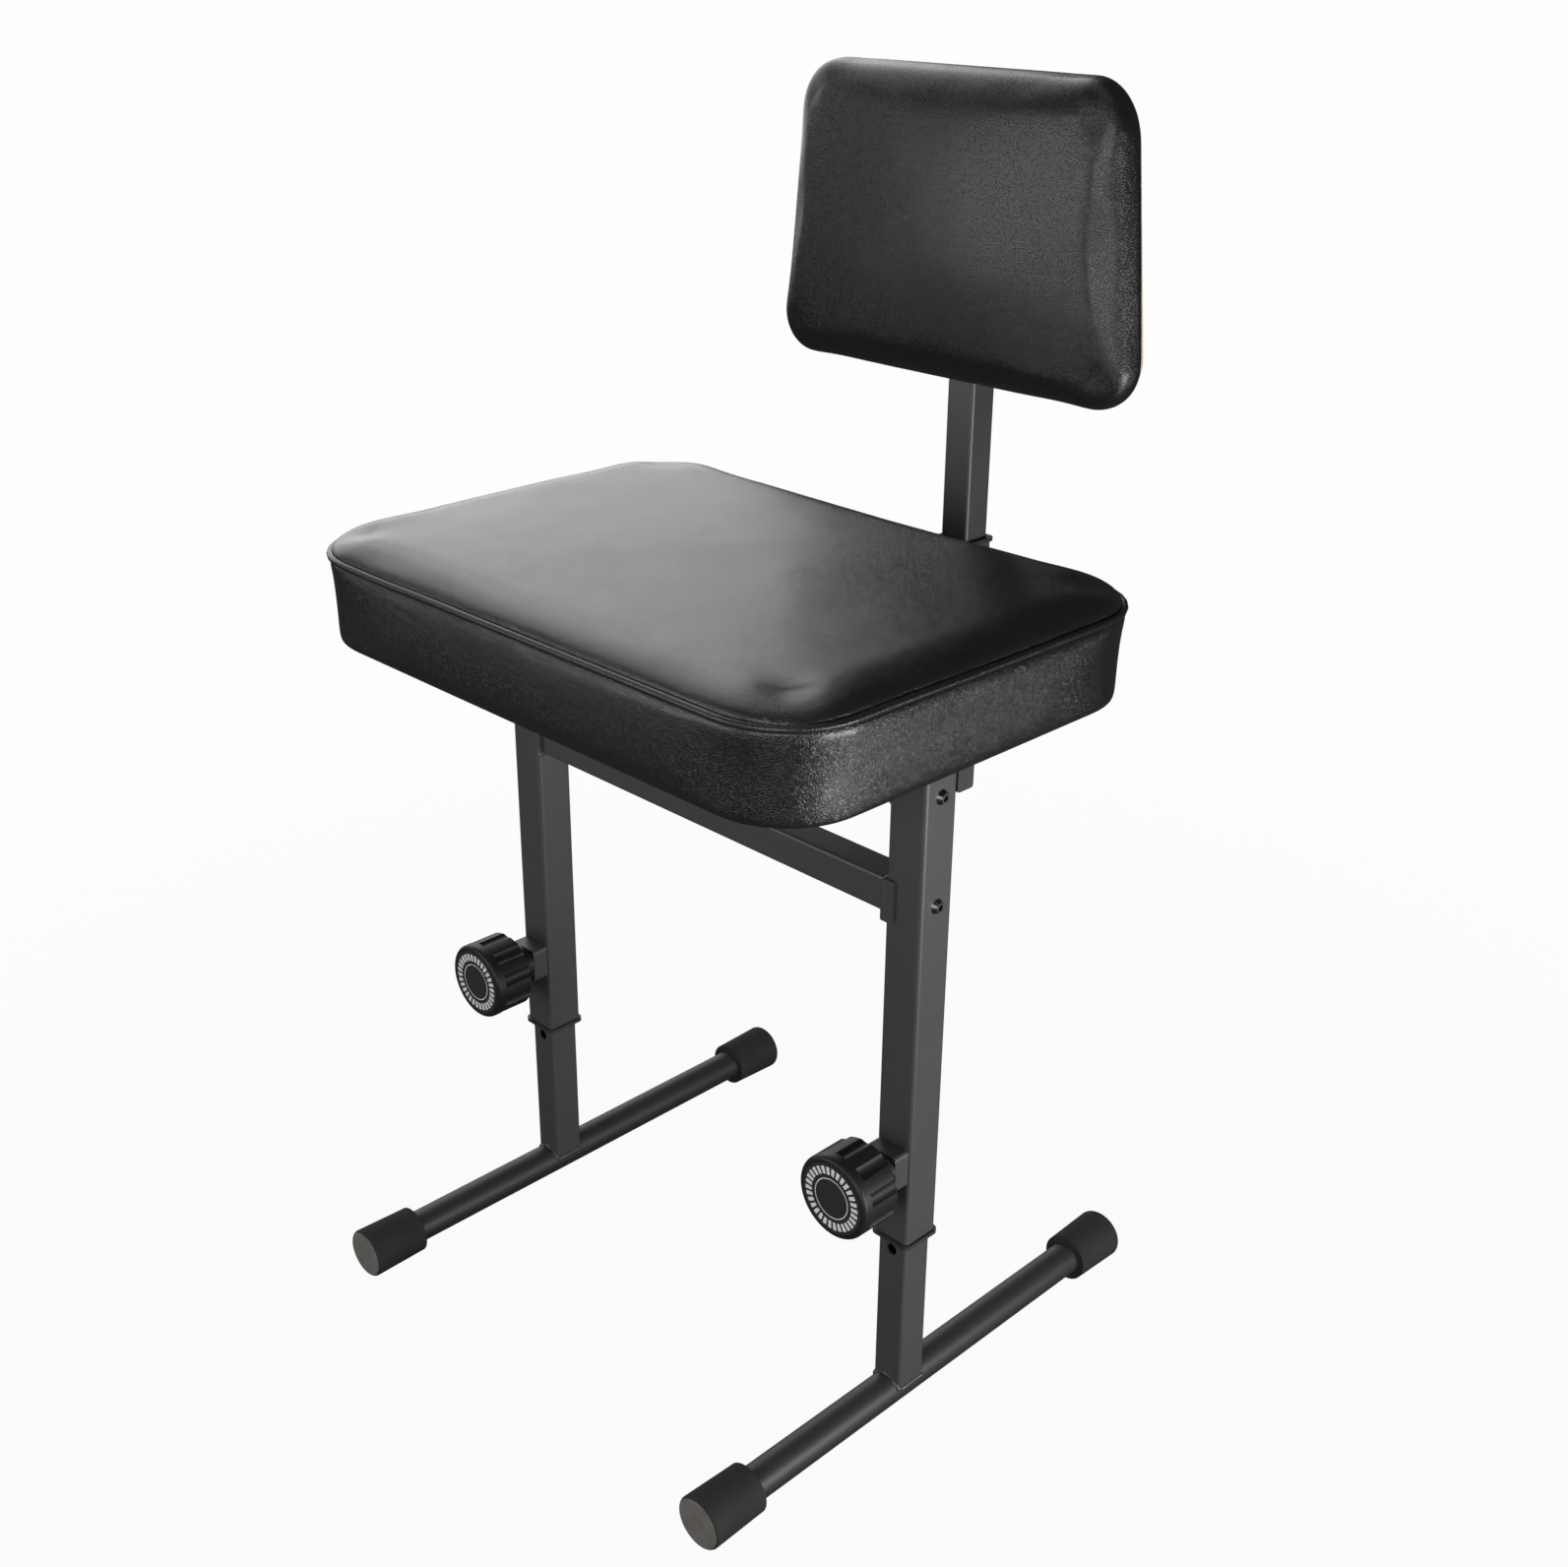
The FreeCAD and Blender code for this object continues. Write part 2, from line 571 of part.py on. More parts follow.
def collar(label):
    """Plastic bush in the end of an outer tube: a flange below its origin, a liner above."""
    bore = s.inner_tube + 2 * s.slide_gap
    bore_corner = s.inner_corner - s.leg_wall
    body = new_body(label)
    flange = new_sketch(body, "XY_Plane", -s.collar_flange)
    draw_rounded_rectangle(flange, s.leg_tube + 2 * s.collar_lip, s.leg_tube + 2 * s.collar_lip,
                           s.leg_corner + s.collar_lip)
    draw_rounded_rectangle(flange, bore, bore, bore_corner)
    add_pad(body, flange, s.collar_flange)
    liner = new_sketch(body, "XY_Plane")
    room = s.leg_tube - 2 * s.leg_wall
    draw_rounded_rectangle(liner, room, room, s.leg_corner - s.leg_wall)
    draw_rounded_rectangle(liner, bore, bore, bore_corner)
    add_pad(body, liner, s.collar_liner)
    return body


def end_plug(label, tube_width, tube_depth, wall, corner, lip_width, lip_depth, flange):
    """Plastic plug: a flange above its origin and a plug that fills the tube below."""
    body = new_body(label)
    top = new_sketch(body, "XY_Plane")
    draw_rounded_rectangle(top, lip_width, lip_depth, corner)
    add_pad(body, top, flange)
    stem = new_sketch(body, "XY_Plane")
    draw_rounded_rectangle(stem, tube_width - 2 * wall, tube_depth - 2 * wall, corner - wall)
    add_pad(body, stem, s.plug_length, reverse=True)
    return body


# Legs and feet


def upper_leg(name, x):
    body = square_tube(name + "_upper_leg", s.leg_tube, s.leg_tube, s.leg_wall, s.leg_corner,
                       s.leg_top - s.leg_bottom, s.leg_bottom)
    holes_along_x(body, [s.brace_height, s.top_bolt_height], s.bolt_radius + s.bolt_gap)
    holes_to_front(body, [s.pin_height], s.pin_radius + s.pin_gap)
    return place(body, x)


def lower_leg(name, x):
    start = s.foot_axis + s.saddle_cut
    body = square_tube(name + "_lower_leg", s.inner_tube, s.inner_tube, s.inner_wall,
                       s.inner_corner, s.inner_leg_top - start, start)
    holes_to_front(body, locking_heights(s.pin_height), s.pin_radius + s.pin_gap)
    sketch = new_sketch(body, "XZ_Plane")
    draw_circle(sketch, s.foot_radius + s.weld_gap, 0, s.foot_axis)
    add_pocket(body, sketch, both_sides=True)
    return place(body, x)


def leg_glide(name, x):
    """Plastic glide that centres the lower leg's top in the upper leg."""
    width = s.leg_tube - 2 * s.leg_wall - 2 * s.slide_gap
    body = end_plug(name + "_leg_glide", s.inner_tube, s.inner_tube, s.inner_wall,
                    s.inner_corner, width, width, s.glide_length)
    return place(body, x, 0, s.inner_leg_top)


def foot_tube(name, x):
    body = new_body(name + "_foot_tube")
    sketch = new_sketch(body, "XY_Plane")
    draw_circle(sketch, s.foot_radius)
    draw_circle(sketch, s.foot_radius - s.foot_wall)
    add_pad(body, sketch, s.foot_front + s.foot_back - 2 * s.cap_end)
    return place(body, x, s.cap_end - s.foot_front, s.foot_axis, "+Y")


def foot_cap(label, x, y, turn):
    """Rubber cap with its closed end at its origin, its mouth along its own Z and a flat sole."""
    body = new_body(label)
    sketch = new_sketch(body, "XZ_Plane")
    mouth = s.cap_radius - s.cap_taper
    draw_outline(sketch, [(0, 0), (s.cap_radius, 0), (mouth, s.cap_length),
                          (s.foot_radius, s.cap_length), (s.foot_radius, s.cap_end),
                          (0, s.cap_end)])
    add_revolution(body, sketch)
    add_fillet(body, circle_at(s.cap_radius, Size.of(0)), s.cap_round)
    down = 1 if turn == "+Y" else -1
    sole = new_sketch(body, "YZ_Plane")
    wide = down * s.cap_radius * 2
    draw_outline(sole, [(down * s.foot_axis, -s.cap_end), (wide, -s.cap_end),
                        (wide, s.cap_length * 2), (down * s.foot_axis, s.cap_length * 2)])
    add_pocket(body, sole, both_sides=True)
    return place(body, x, y, s.foot_axis, turn)


# Brackets, brace and seat carrier


def brace_saddle(name, side):
    """Channel whose web lies on the leg's inner face and whose flanges hold the leg."""
    body = new_body(name + "_brace_saddle")
    sketch = new_sketch(body, "XY_Plane", s.brace_height)
    half = s.leg_tube / 2
    back = half + s.saddle_thick
    tip = half - s.saddle_lap
    u = -1 * side
    points = [(back, -back), (back, back), (tip, back), (tip, half),
              (half, half), (half, -half), (tip, -half), (tip, -back)]
    draw_outline(sketch, [(u * x, y) for x, y in points])
    add_pad(body, sketch, s.saddle_height, both_sides=True)
    add_fillet(body, along_z_at(back.value, back.value), s.saddle_round)
    holes_along_x(body, [s.brace_height], s.bolt_radius + s.bolt_gap)
    return place(body, side * s.leg_spacing / 2)


def cross_brace():
    length = s.leg_spacing - s.leg_tube - 2 * s.saddle_thick
    body = square_tube("cross_brace", s.brace_tube, s.brace_tube, s.brace_wall,
                       s.brace_corner, length)
    return place(body, -length / 2, 0, s.brace_height, "+X")


def rail_tab(name, side):
    """Plate from the rear rail along the leg's inner face, with the upper bolt's hole."""
    body = new_body(name + "_rail_tab")
    sketch = new_sketch(body, "YZ_Plane")
    front, back = -s.tab_reach, s.leg_tube / 2
    low = s.top_bolt_height - s.tab_height / 2
    high = s.top_bolt_height + s.tab_height / 2
    draw_outline(sketch, [(front, low), (back, low), (back, high), (front, high)])
    add_pad(body, sketch, s.saddle_thick)
    add_fillet(body, lambda edge: all(abs(v.Point.y - front.value) < 1e-3 for v in edge.Vertexes)
               and abs(edge.Length - s.saddle_thick.value) < 1e-3, s.tab_corner)
    holes_along_x(body, [s.top_bolt_height], s.bolt_radius + s.bolt_gap)
    inner_face = s.leg_spacing / 2 - s.leg_tube / 2
    if side > 0:
        return place(body, inner_face - s.saddle_thick)
    return place(body, -inner_face)


def rear_rail():
    length = s.leg_spacing + s.leg_tube - 2 * s.plug_flange
    body = square_tube("rear_rail", s.rail_height, s.rail_depth, s.rail_wall, s.rail_corner, length)
    return place(body, -length / 2, s.rail_middle, s.leg_top - s.rail_height / 2, "+X")


def rail_end_caps():
    caps = []
    end = s.leg_spacing / 2 + s.leg_tube / 2 - s.plug_flange
    for name, x, turn in (("left", -end, "-X"), ("right", end, "+X")):
        cap = end_plug(name + "_rail_cap", s.rail_height, s.rail_depth, s.rail_wall,
                       s.rail_corner, s.rail_height, s.rail_depth, s.plug_flange)
        caps.append(place(cap, x, s.rail_middle, s.leg_top - s.rail_height / 2, turn))
    return group("rail_end_caps", caps)


def flat_plate(label, width, depth, thick, corner, screws):
    """Flat steel plate with its lower face at its origin and clearance holes for screws."""
    body = new_body(label)
    sketch = new_sketch(body, "XY_Plane")
    draw_rounded_rectangle(sketch, width, depth, corner)
    add_pad(body, sketch, thick)
    holes = new_sketch(body, "XY_Plane")
    for x, y in screws:
        draw_circle(holes, s.bolt_radius + s.bolt_gap, x, y)
    add_pocket(body, holes, both_sides=True)
    return body


def seat_plate(name, side):
    reach = s.plate_length / 2 - s.plate_edge
    body = flat_plate(name + "_seat_plate", s.plate_width, s.plate_length, s.plate_thick,
                      s.plate_corner, [(0, -reach), (0, reach)])
    return place(body, side * s.leg_spacing / 2, -s.plate_shift, s.leg_top)


def arm_plate():
    body = flat_plate("arm_seat_plate", s.arm_plate_width, s.arm_plate_depth, s.plate_thick,
                      s.plate_corner, [(-s.arm_screw_x, 0), (s.arm_screw_x, 0)])
    return place(body, 0, s.arm_plate_place, s.leg_top)


def backrest_arm():
    start = s.rail_middle + s.rail_depth / 2
    length = s.post_place - s.leg_tube / 2 - start
    body = square_tube("backrest_arm", s.arm_tube, s.arm_tube, s.arm_wall, s.brace_corner, length)
    return place(body, 0, start, s.leg_top - s.arm_tube / 2, "+Y")


# Fasteners


def button_screw(label, length, x, y, z, turn):
    """Button-head screw: its head stands against its own Z, its shank runs along it."""
    back = {"+X": "-X", "-X": "+X", "+Y": "-Y", "-Y": "+Y", "+Z": "-Z"}[turn]
    step = {"+X": (-1, 0, 0), "-X": (1, 0, 0), "+Y": (0, -1, 0), "-Y": (0, 1, 0), "+Z": (0, 0, -1)}
    u, v, w = step[turn]
    floor = s.head_height - s.socket_depth
    head = cone(label + "_head", s.head_radius, s.head_top_radius, s.head_height, x, y, z, back)
    shank = cylinder(label + "_shank", s.bolt_radius, length, x, y, z, turn)
    socket = hexagon(label + "_socket", s.socket_radius, s.socket_depth,
                     Size.of(x) + u * floor, Size.of(y) + v * floor, Size.of(z) + w * floor, back)
    return difference(label, union(label + "_blank", head, shank), socket)


def hexagon_nut(label, x, y, z, turn):
    blank = hexagon(label + "_blank", s.nut_radius, s.nut_height, x, y, z, turn)
    bore = cylinder(label + "_bore", s.bolt_radius + s.thread_gap, s.nut_height, x, y, z, turn)
    return difference(label, blank, bore)


def leg_bolts():
    """The two bolts of each leg, from its outer face through the bracket inside."""
    bolts = []
    length = s.leg_tube + s.saddle_thick + s.nut_height + s.bolt_end
    outer = s.leg_spacing / 2 + s.leg_tube / 2
    for level, height in (("low", s.brace_height), ("top", s.top_bolt_height)):
        bolts.append(button_screw("left_bolt_" + level, length, -outer, 0, height, "+X"))
        bolts.append(button_screw("right_bolt_" + level, length, outer, 0, height, "-X"))
    return group("leg_bolts", bolts)


def leg_nuts():
    nuts = []
    face = s.leg_spacing / 2 - s.leg_tube / 2 - s.saddle_thick
    for level, height in (("low", s.brace_height), ("top", s.top_bolt_height)):
        nuts.append(hexagon_nut("left_nut_" + level, -face, 0, height, "+X"))
        nuts.append(hexagon_nut("right_nut_" + level, face, 0, height, "-X"))
    return group("leg_weld_nuts", nuts)


def seat_screw_places():
    """Where the seat plates and the arm plate are screwed to the seat board."""
    reach = s.plate_length / 2 - s.plate_edge
    places = []
    for side in (-1, 1):
        for end in (-1, 1):
            places.append((side * s.leg_spacing / 2, end * reach - s.plate_shift))
        places.append((side * s.arm_screw_x, s.arm_plate_place))
    return places


def seat_screws():
    length = s.plate_thick + s.seat_board - s.screw_stop
    screws = [button_screw("seat_screw_%d" % n, length, x, y, s.leg_top, "+Z")
              for n, (x, y) in enumerate(seat_screw_places(), start=1)]
    return group("seat_screws", screws)


def tee_nut(label, barrel_length, x, y, z, turn):
    """Tee nut with its flange at its origin and its barrel along its own Z."""
    flange = cylinder(label + "_flange", s.tee_flange, s.tee_flange_thick, x, y, z, turn)
    barrel = cylinder(label + "_barrel", s.tee_barrel, barrel_length, x, y, z, turn)
    bore = cylinder(label + "_bore", s.bolt_radius + s.thread_gap, barrel_length, x, y, z, turn)
    return difference(label, union(label + "_blank", flange, barrel), bore)


def seat_tee_nuts():
    nuts = [tee_nut("seat_tee_nut_%d" % n, s.seat_board - s.screw_stop, x, y,
                    s.board_bottom + s.seat_board, "-Z")
            for n, (x, y) in enumerate(seat_screw_places(), start=1)]
    return group("seat_tee_nuts", nuts)


def back_screw_places():
    return [(i * s.back_screw_x, s.back_middle + k * s.back_screw_z) for i in (-1, 1) for k in (-1, 1)]


def back_screws():
    length = s.back_plate_thick + s.back_board - s.screw_stop
    screws = [button_screw("back_screw_%d" % n, length, x, s.back_plate_rear, z, "-Y")
              for n, (x, z) in enumerate(back_screw_places(), start=1)]
    return group("back_screws", screws)


def back_tee_nuts():
    face = s.board_rear - s.back_board
    nuts = [tee_nut("back_tee_nut_%d" % n, s.back_board - s.screw_stop, x, face, z, "+Y")
            for n, (x, z) in enumerate(back_screw_places(), start=1)]
    return group("back_tee_nuts", nuts)


# Boards


def board_holes(body, places, thick):
    """Holes for the tee nuts, with room for their flanges in the upper face."""
    barrels = new_sketch(body, "XY_Plane")
    for x, y in places:
        draw_circle(barrels, s.tee_barrel + s.tee_gap, x, y)
    add_pocket(body, barrels, both_sides=True)
    flanges = new_sketch(body, "XY_Plane", thick)
    for x, y in places:
        draw_circle(flanges, s.tee_flange + s.tee_gap, x, y)
    add_pocket(body, flanges, s.tee_flange_thick)


def seat_board():
    inset = s.seat_draw + s.cover_thick + s.foam_gap
    body = new_body("seat_board")
    sketch = new_sketch(body, "XY_Plane")
    draw_rounded_rectangle(sketch, s.seat_width - 2 * inset, s.seat_depth - 2 * inset,
                           s.seat_corner - inset)
    add_pad(body, sketch, s.seat_board)
    board_holes(body, [(x, y - s.seat_centre) for x, y in seat_screw_places()], s.seat_board)
    return place(body, 0, s.seat_centre, s.board_bottom)


def rounded_wire(corners, radii, level):
    """A closed wire through the corners of a convex outline, each rounded by an arc."""
    count = len(corners)
    starts, middles, ends = [], [], []
    for n, (x, y) in enumerate(corners):
        here = V(x, y, level)
        before = V(*corners[n - 1], level) - here
        after = V(*corners[(n + 1) % count], level) - here
        before.normalize()
        after.normalize()
        half_angle = before.getAngle(after) / 2
        reach = radii[n] / math.tan(half_angle)
        bisector = before + after
        bisector.normalize()
        starts.append(here + before * reach)
        ends.append(here + after * reach)
        middles.append(here + bisector * (radii[n] / math.sin(half_angle) - radii[n]))
    edges = []
    for n in range(count):
        edges.append(Part.Arc(starts[n], middles[n], ends[n]).toShape())
        edges.append(Part.LineSegment(ends[n], starts[(n + 1) % count]).toShape())
    return Part.Wire(edges)


def seat_outline(inset, level):
    a = s.seat_width.value / 2 - inset
    b = s.seat_depth.value / 2 - inset
    radius = max(s.seat_corner.value - inset, s.seat_corner.value / 4)
    return rounded_wire([(-a, -b), (a, -b), (a, b), (-a, b)], [radius] * 4, level)


def back_outline(inset, level):
    """The backrest's trapezoid, moved in by the inset, narrow side up."""
    low, high = s.back_width_low.value / 2, s.back_width_high.value / 2
    half = s.back_height.value / 2
    slope = (low - high) / (2 * half)
    side = inset * math.sqrt(1 + slope * slope)
    b = half - inset
    low_x = low - side - slope * inset
    high_x = high - side + slope * inset
    low_radius = max(s.back_corner_low.value - inset, s.back_corner_low.value / 3)
    high_radius = max(s.back_corner_high.value - inset, s.back_corner_high.value / 3)
    corners = [(-low_x, -b), (low_x, -b), (high_x, b), (-high_x, b)]
    return rounded_wire(corners, [low_radius, low_radius, high_radius, high_radius], level)


def domed_block(outline, inset, low, high, dome, rounding):
    """A block on an outline whose top is part of a ball, with a rounded upper edge."""
    block = Part.Face(outline(inset, low)).extrude(V(0, 0, high - low))
    block = block.common(Part.makeSphere(dome, V(0, 0, high - dome)))
    top = max(block.Faces, key=lambda face: face.CenterOfMass.z)
    return block.makeFillet(rounding, top.Edges)


def seat_form(thick, seam):
    """The seat's outer form, or the form inside a skin of the given thickness."""
    bottom, rim = thick, s.seat_side.value - seam
    draw = s.seat_draw.value
    sides = [seat_outline(thick + draw * k + (seam if t == 1.0 else 0), bottom + t * (rim - bottom))
             for t, k in SEAT_SIDE_LEVELS]
    rim_inset = thick + draw * SEAT_SIDE_LEVELS[-1][1] + seam
    top = s.seat_side.value + s.seat_crown.value - thick
    crown = domed_block(seat_outline, rim_inset, rim, top, s.seat_dome.value - thick,
                        s.seat_round.value - thick)
    return Part.makeLoft(sides, True, False).fuse(crown).removeSplitter()


def back_form(thick):
    """The backrest's outer form, or the form inside a skin of the given thickness."""
    block = domed_block(back_outline, thick, thick, s.back_thick.value - thick,
                        s.back_dome.value - thick, s.back_round.value - thick)
    rear = min(block.Faces, key=lambda face: face.CenterOfMass.z)
    return block.makeFillet(s.back_draw.value - thick, rear.Edges)


def window(outline, inset, height):
    """The block that leaves a hem when it is cut out of a cover's underside."""
    face = Part.Face(outline(inset, -1.0))
    return face.extrude(V(0, 0, height + 1.0))


def piping_tube(radius):
    """A tube along the seat's upper edge."""
    level = s.seat_side.value
    path = seat_outline(s.piping_inset.value, level)
    edge = path.Edges[1]
    start = edge.valueAt(edge.FirstParameter)
    direction = edge.tangentAt(edge.FirstParameter)
    ordered = Part.Wire(Part.__sortEdges__(path.Edges[1:] + path.Edges[:1]))
    circle = Part.Wire(Part.makeCircle(radius, start, direction))
    return ordered.makePipeShell([circle], True, False)


def seat_soft_parts():
    thick = s.cover_thick.value
    gap = s.foam_gap.value
    skin = seat_form(0.0, 0.0).cut(seat_form(thick, s.seam_bulk.value))
    skin = skin.cut(window(seat_outline, s.cover_hem.value, thick))
    skin = skin.cut(piping_tube(s.piping_radius.value + s.piping_gap.value))
    place(fixed_shape("seat_cover", skin), 0, s.seat_centre, s.seat_bottom)
    inner = seat_form(thick + gap, s.seam_bulk.value)
    board_top = thick + s.seat_board.value
    below = Part.makeBox(2 * s.seat_width.value, 2 * s.seat_depth.value, board_top,
                         V(-s.seat_width.value, -s.seat_depth.value, 0))
    place(fixed_shape("seat_foam", inner.cut(below)), 0, s.seat_centre, s.seat_bottom)
    piping = piping_tube(s.piping_radius.value)
    place(fixed_shape("seat_piping", piping), 0, s.seat_centre, s.seat_bottom)


def back_soft_parts():
    thick = s.cover_thick.value
    gap = s.foam_gap.value
    skin = back_form(0.0).cut(back_form(thick))
    skin = skin.cut(window(back_outline, s.cover_hem.value, thick))
    place(fixed_shape("back_cover", skin), 0, s.board_rear + s.cover_thick, s.back_middle, "-Y")
    inner = back_form(thick + gap)
    board_top = thick + s.back_board.value
    below = Part.makeBox(2 * s.back_width_low.value, 2 * s.back_height.value, board_top,
                         V(-s.back_width_low.value, -s.back_height.value, 0))
    place(fixed_shape("back_foam", inner.cut(below)), 0, s.board_rear + s.cover_thick, s.back_middle, "-Y")


def back_board():
    """The backrest's board, cut to the inside of its cover."""
    body = new_body("back_board")
    sketch = new_sketch(body, "XY_Plane")
    inset = s.back_draw + s.cover_thick + s.foam_gap
    outline = back_outline(inset.value, 0.0)
    for edge in outline.Edges:
        curve = edge.Curve
        if isinstance(curve, Part.Circle):
            ends = [vertex.Point for vertex in edge.Vertexes]
            middle = edge.valueAt((edge.FirstParameter + edge.LastParameter) / 2)
            sketch.addGeometry(Part.Arc(ends[0], middle, ends[1]), False)
        else:
            sketch.addGeometry(Part.LineSegment(*[vertex.Point for vertex in edge.Vertexes]), False)
    add_pad(body, sketch, s.back_board)
    places = [(x, z - s.back_middle) for x, z in back_screw_places()]
    board_holes(body, places, s.back_board)
    return place(body, 0, s.board_rear, s.back_middle, "-Y")


# Back post and its carrier


def receiver():
    body = square_tube("backrest_receiver", s.leg_tube, s.leg_tube, s.leg_wall, s.leg_corner,
                       s.receiver_top - s.receiver_bottom, s.receiver_bottom)
    holes_to_back(body, [s.back_pin_height], s.pin_radius + s.pin_gap)
    return place(body, 0, s.post_place)


def back_post():
    start = s.post_bottom + s.plug_flange
    body = square_tube("back_post", s.inner_tube, s.inner_tube, s.inner_wall, s.inner_corner,
                       s.post_top - s.plug_flange - start, start)
    holes_to_back(body, locking_heights(s.back_pin_height), s.pin_radius + s.pin_gap)
    return place(body, 0, s.post_place)


def post_plugs():
    plugs = []
    ends = (("low", s.post_bottom + s.plug_flange, "-Z"), ("top", s.post_top - s.plug_flange, "+Z"))
    for name, height, turn in ends:
        plug = end_plug("post_plug_" + name, s.inner_tube, s.inner_tube, s.inner_wall,
                        s.inner_corner, s.inner_tube, s.inner_tube, s.plug_flange)
        plugs.append(place(plug, 0, s.post_place, height, turn))
    return group("post_plugs", plugs)


def back_plate():
    screws = [(x, z - s.back_middle) for x, z in back_screw_places()]
    body = flat_plate("back_plate", s.back_plate_width, s.back_plate_height,
                      s.back_plate_thick, s.plate_corner, screws)
    return place(body, 0, s.back_plate_rear, s.back_middle, "-Y")


# Locking knobs, each along its own Z with the tube's face at its origin


def knob_boss(name, x, y, z, turn):
    """Housing on the tube with the spring's chamber, and the barrel that the knob covers."""
    body = new_body(name + "_knob_boss")
    block = new_sketch(body, "XY_Plane")
    draw_rounded_rectangle(block, s.block_width, s.block_height, s.block_corner)
    add_pad(body, block, s.block_depth)
    barrel = new_sketch(body, "XY_Plane", s.block_depth)
    draw_circle(barrel, s.barrel_radius)
    add_pad(body, barrel, s.barrel_length)
    chamber = new_sketch(body, "XY_Plane")
    draw_circle(chamber, s.chamber_radius)
    add_pocket(body, chamber, s.boss_depth - s.barrel_shoulder, reverse=True)
    bore = new_sketch(body, "XY_Plane")
    draw_circle(bore, s.pin_radius + s.pin_gap)
    add_pocket(body, bore, reverse=True)
    return place(body, x, y, z, turn)


def knob_pin(name, x, y, z, turn):
    """Locking pin with the flange that the spring pushes and the head that pulls."""
    nose = s.pin_retreat - (s.leg_tube - s.inner_tube) / 2
    flange_end = s.pin_rest + s.flange_thick
    head_start = s.pin_head_floor + s.pin_rest
    body = new_body(name + "_knob_pin")
    sketch = new_sketch(body, "XZ_Plane")
    draw_outline(sketch, [(0, nose), (s.pin_radius, nose), (s.pin_radius, s.pin_rest),
                          (s.pin_flange, s.pin_rest), (s.pin_flange, flange_end),
                          (s.pin_radius, flange_end), (s.pin_radius, head_start),
                          (s.pin_head, head_start), (s.pin_head, head_start + s.pin_head_thick),
                          (0, head_start + s.pin_head_thick)])
    add_revolution(body, sketch)
    return place(body, x, y, z, turn)


def knob_spring(name, x, y, z, turn):
    """Coil between the pin's flange and the barrel's shoulder."""
    wire = (s.spring_outer.value - s.spring_inner.value) / 2
    radius = s.spring_inner.value + wire
    start = s.pin_rest.value + s.flange_thick.value + wire
    height = (s.boss_depth - s.barrel_shoulder).value - wire - start
    path = Part.makeHelix(height / s.spring_turns.value, height, radius)
    path.translate(V(0, 0, start))
    edge = path.Edges[0]
    first = edge.FirstParameter
    section = Part.Wire(Part.makeCircle(wire, edge.valueAt(first), edge.tangentAt(first)))
    coil = Part.Wire(path.Edges).makePipeShell([section], True, True)
    return place(fixed_shape(name + "_knob_spring", coil), x, y, z, turn)


def knob(name, x, y, z, turn):
    """Fluted plastic head on a hub, with the rooms for barrel, pin, pin head and disc."""
    front = s.knob_front
    pin_bore = s.pin_radius + s.turn_gap
    barrel_room = s.barrel_radius + s.pin_gap
    head_room = s.pin_head + s.pin_gap
    disc_floor = front - s.disc_thick
    body = new_body(name + "_knob")
    sketch = new_sketch(body, "XZ_Plane")
    draw_outline(sketch, [(pin_bore, s.barrel_end), (barrel_room, s.barrel_end),
                          (barrel_room, s.hub_start), (s.hub_radius, s.hub_start),
                          (s.hub_radius, s.knob_back), (s.knob_radius, s.knob_back),
                          (s.knob_radius, front), (s.disc_radius + s.disc_gap, front),
                          (s.disc_radius + s.disc_gap, disc_floor), (head_room, disc_floor),
                          (head_room, s.pin_head_floor), (pin_bore, s.pin_head_floor)])
    add_revolution(body, sketch)
    add_fillet(body, circle_at(s.knob_radius, front), s.knob_round)
    add_fillet(body, circle_at(s.knob_radius, s.knob_back), s.knob_back_round)
    doc.recompute()
    flute = new_sketch(body, "XY_Plane", s.knob_back)
    draw_circle(flute, s.flute_radius, 0, s.knob_radius + s.flute_radius - s.flute_depth)
    pocket = add_pocket(body, flute, s.flute_length, reverse=True)
    before = body.Shape.Volume
    pattern = body.newObject("PartDesign::PolarPattern", body.Label + "_flutes")
    pattern.Originals = [pocket]
    pattern.Axis = (flute, ["N_Axis"])
    pattern.Angle = 360
    pattern.Occurrences = FLUTES
    body.Tip = pattern
    doc.recompute()
    if not body.Shape.Volume < before - 1:
        raise RuntimeError(body.Label + ": the flutes are missing")
    return place(body, x, y, z, turn)


def knob_disc(name, x, y, z, turn):
    body = new_body(name + "_knob_disc")
    sketch = new_sketch(body, "XY_Plane", s.knob_front - s.disc_thick)
    draw_circle(sketch, s.disc_radius)
    add_pad(body, sketch, s.disc_thick)
    return place(body, x, y, z, turn)


def locking_knob(name, x, y, z, turn):
    for piece in (knob_boss, knob_pin, knob_spring, knob, knob_disc):
        piece(name, x, y, z, turn)


def build_side(name, side):
    x = side * s.leg_spacing / 2
    upper_leg(name, x)
    place(collar(name + "_leg_collar"), x, 0, s.leg_bottom)
    lower_leg(name, x)
    leg_glide(name, x)
    foot_tube(name, x)
    foot_cap(name + "_foot_cap_front", x, -s.foot_front, "+Y")
    foot_cap(name + "_foot_cap_back", x, s.foot_back, "-Y")
    brace_saddle(name, side)
    rail_tab(name, side)
    seat_plate(name, side)
    locking_knob(name, x, -s.leg_tube / 2, s.pin_height, "-Y")


def build_seat():
    cross_brace()
    rear_rail()
    rail_end_caps()
    leg_bolts()
    leg_nuts()
    seat_screws()
    seat_tee_nuts()
    seat_board()
    seat_soft_parts()


def build_back():
    backrest_arm()
    arm_plate()
    receiver()
    place(collar("receiver_collar"), 0, s.post_place, s.receiver_top, "-Z")
    locking_knob("back", 0, s.post_place + s.leg_tube / 2, s.back_pin_height, "+Y")
    back_post()
    post_plugs()
    back_plate()
    back_screws()
    back_tee_nuts()
    back_board()
    back_soft_parts()


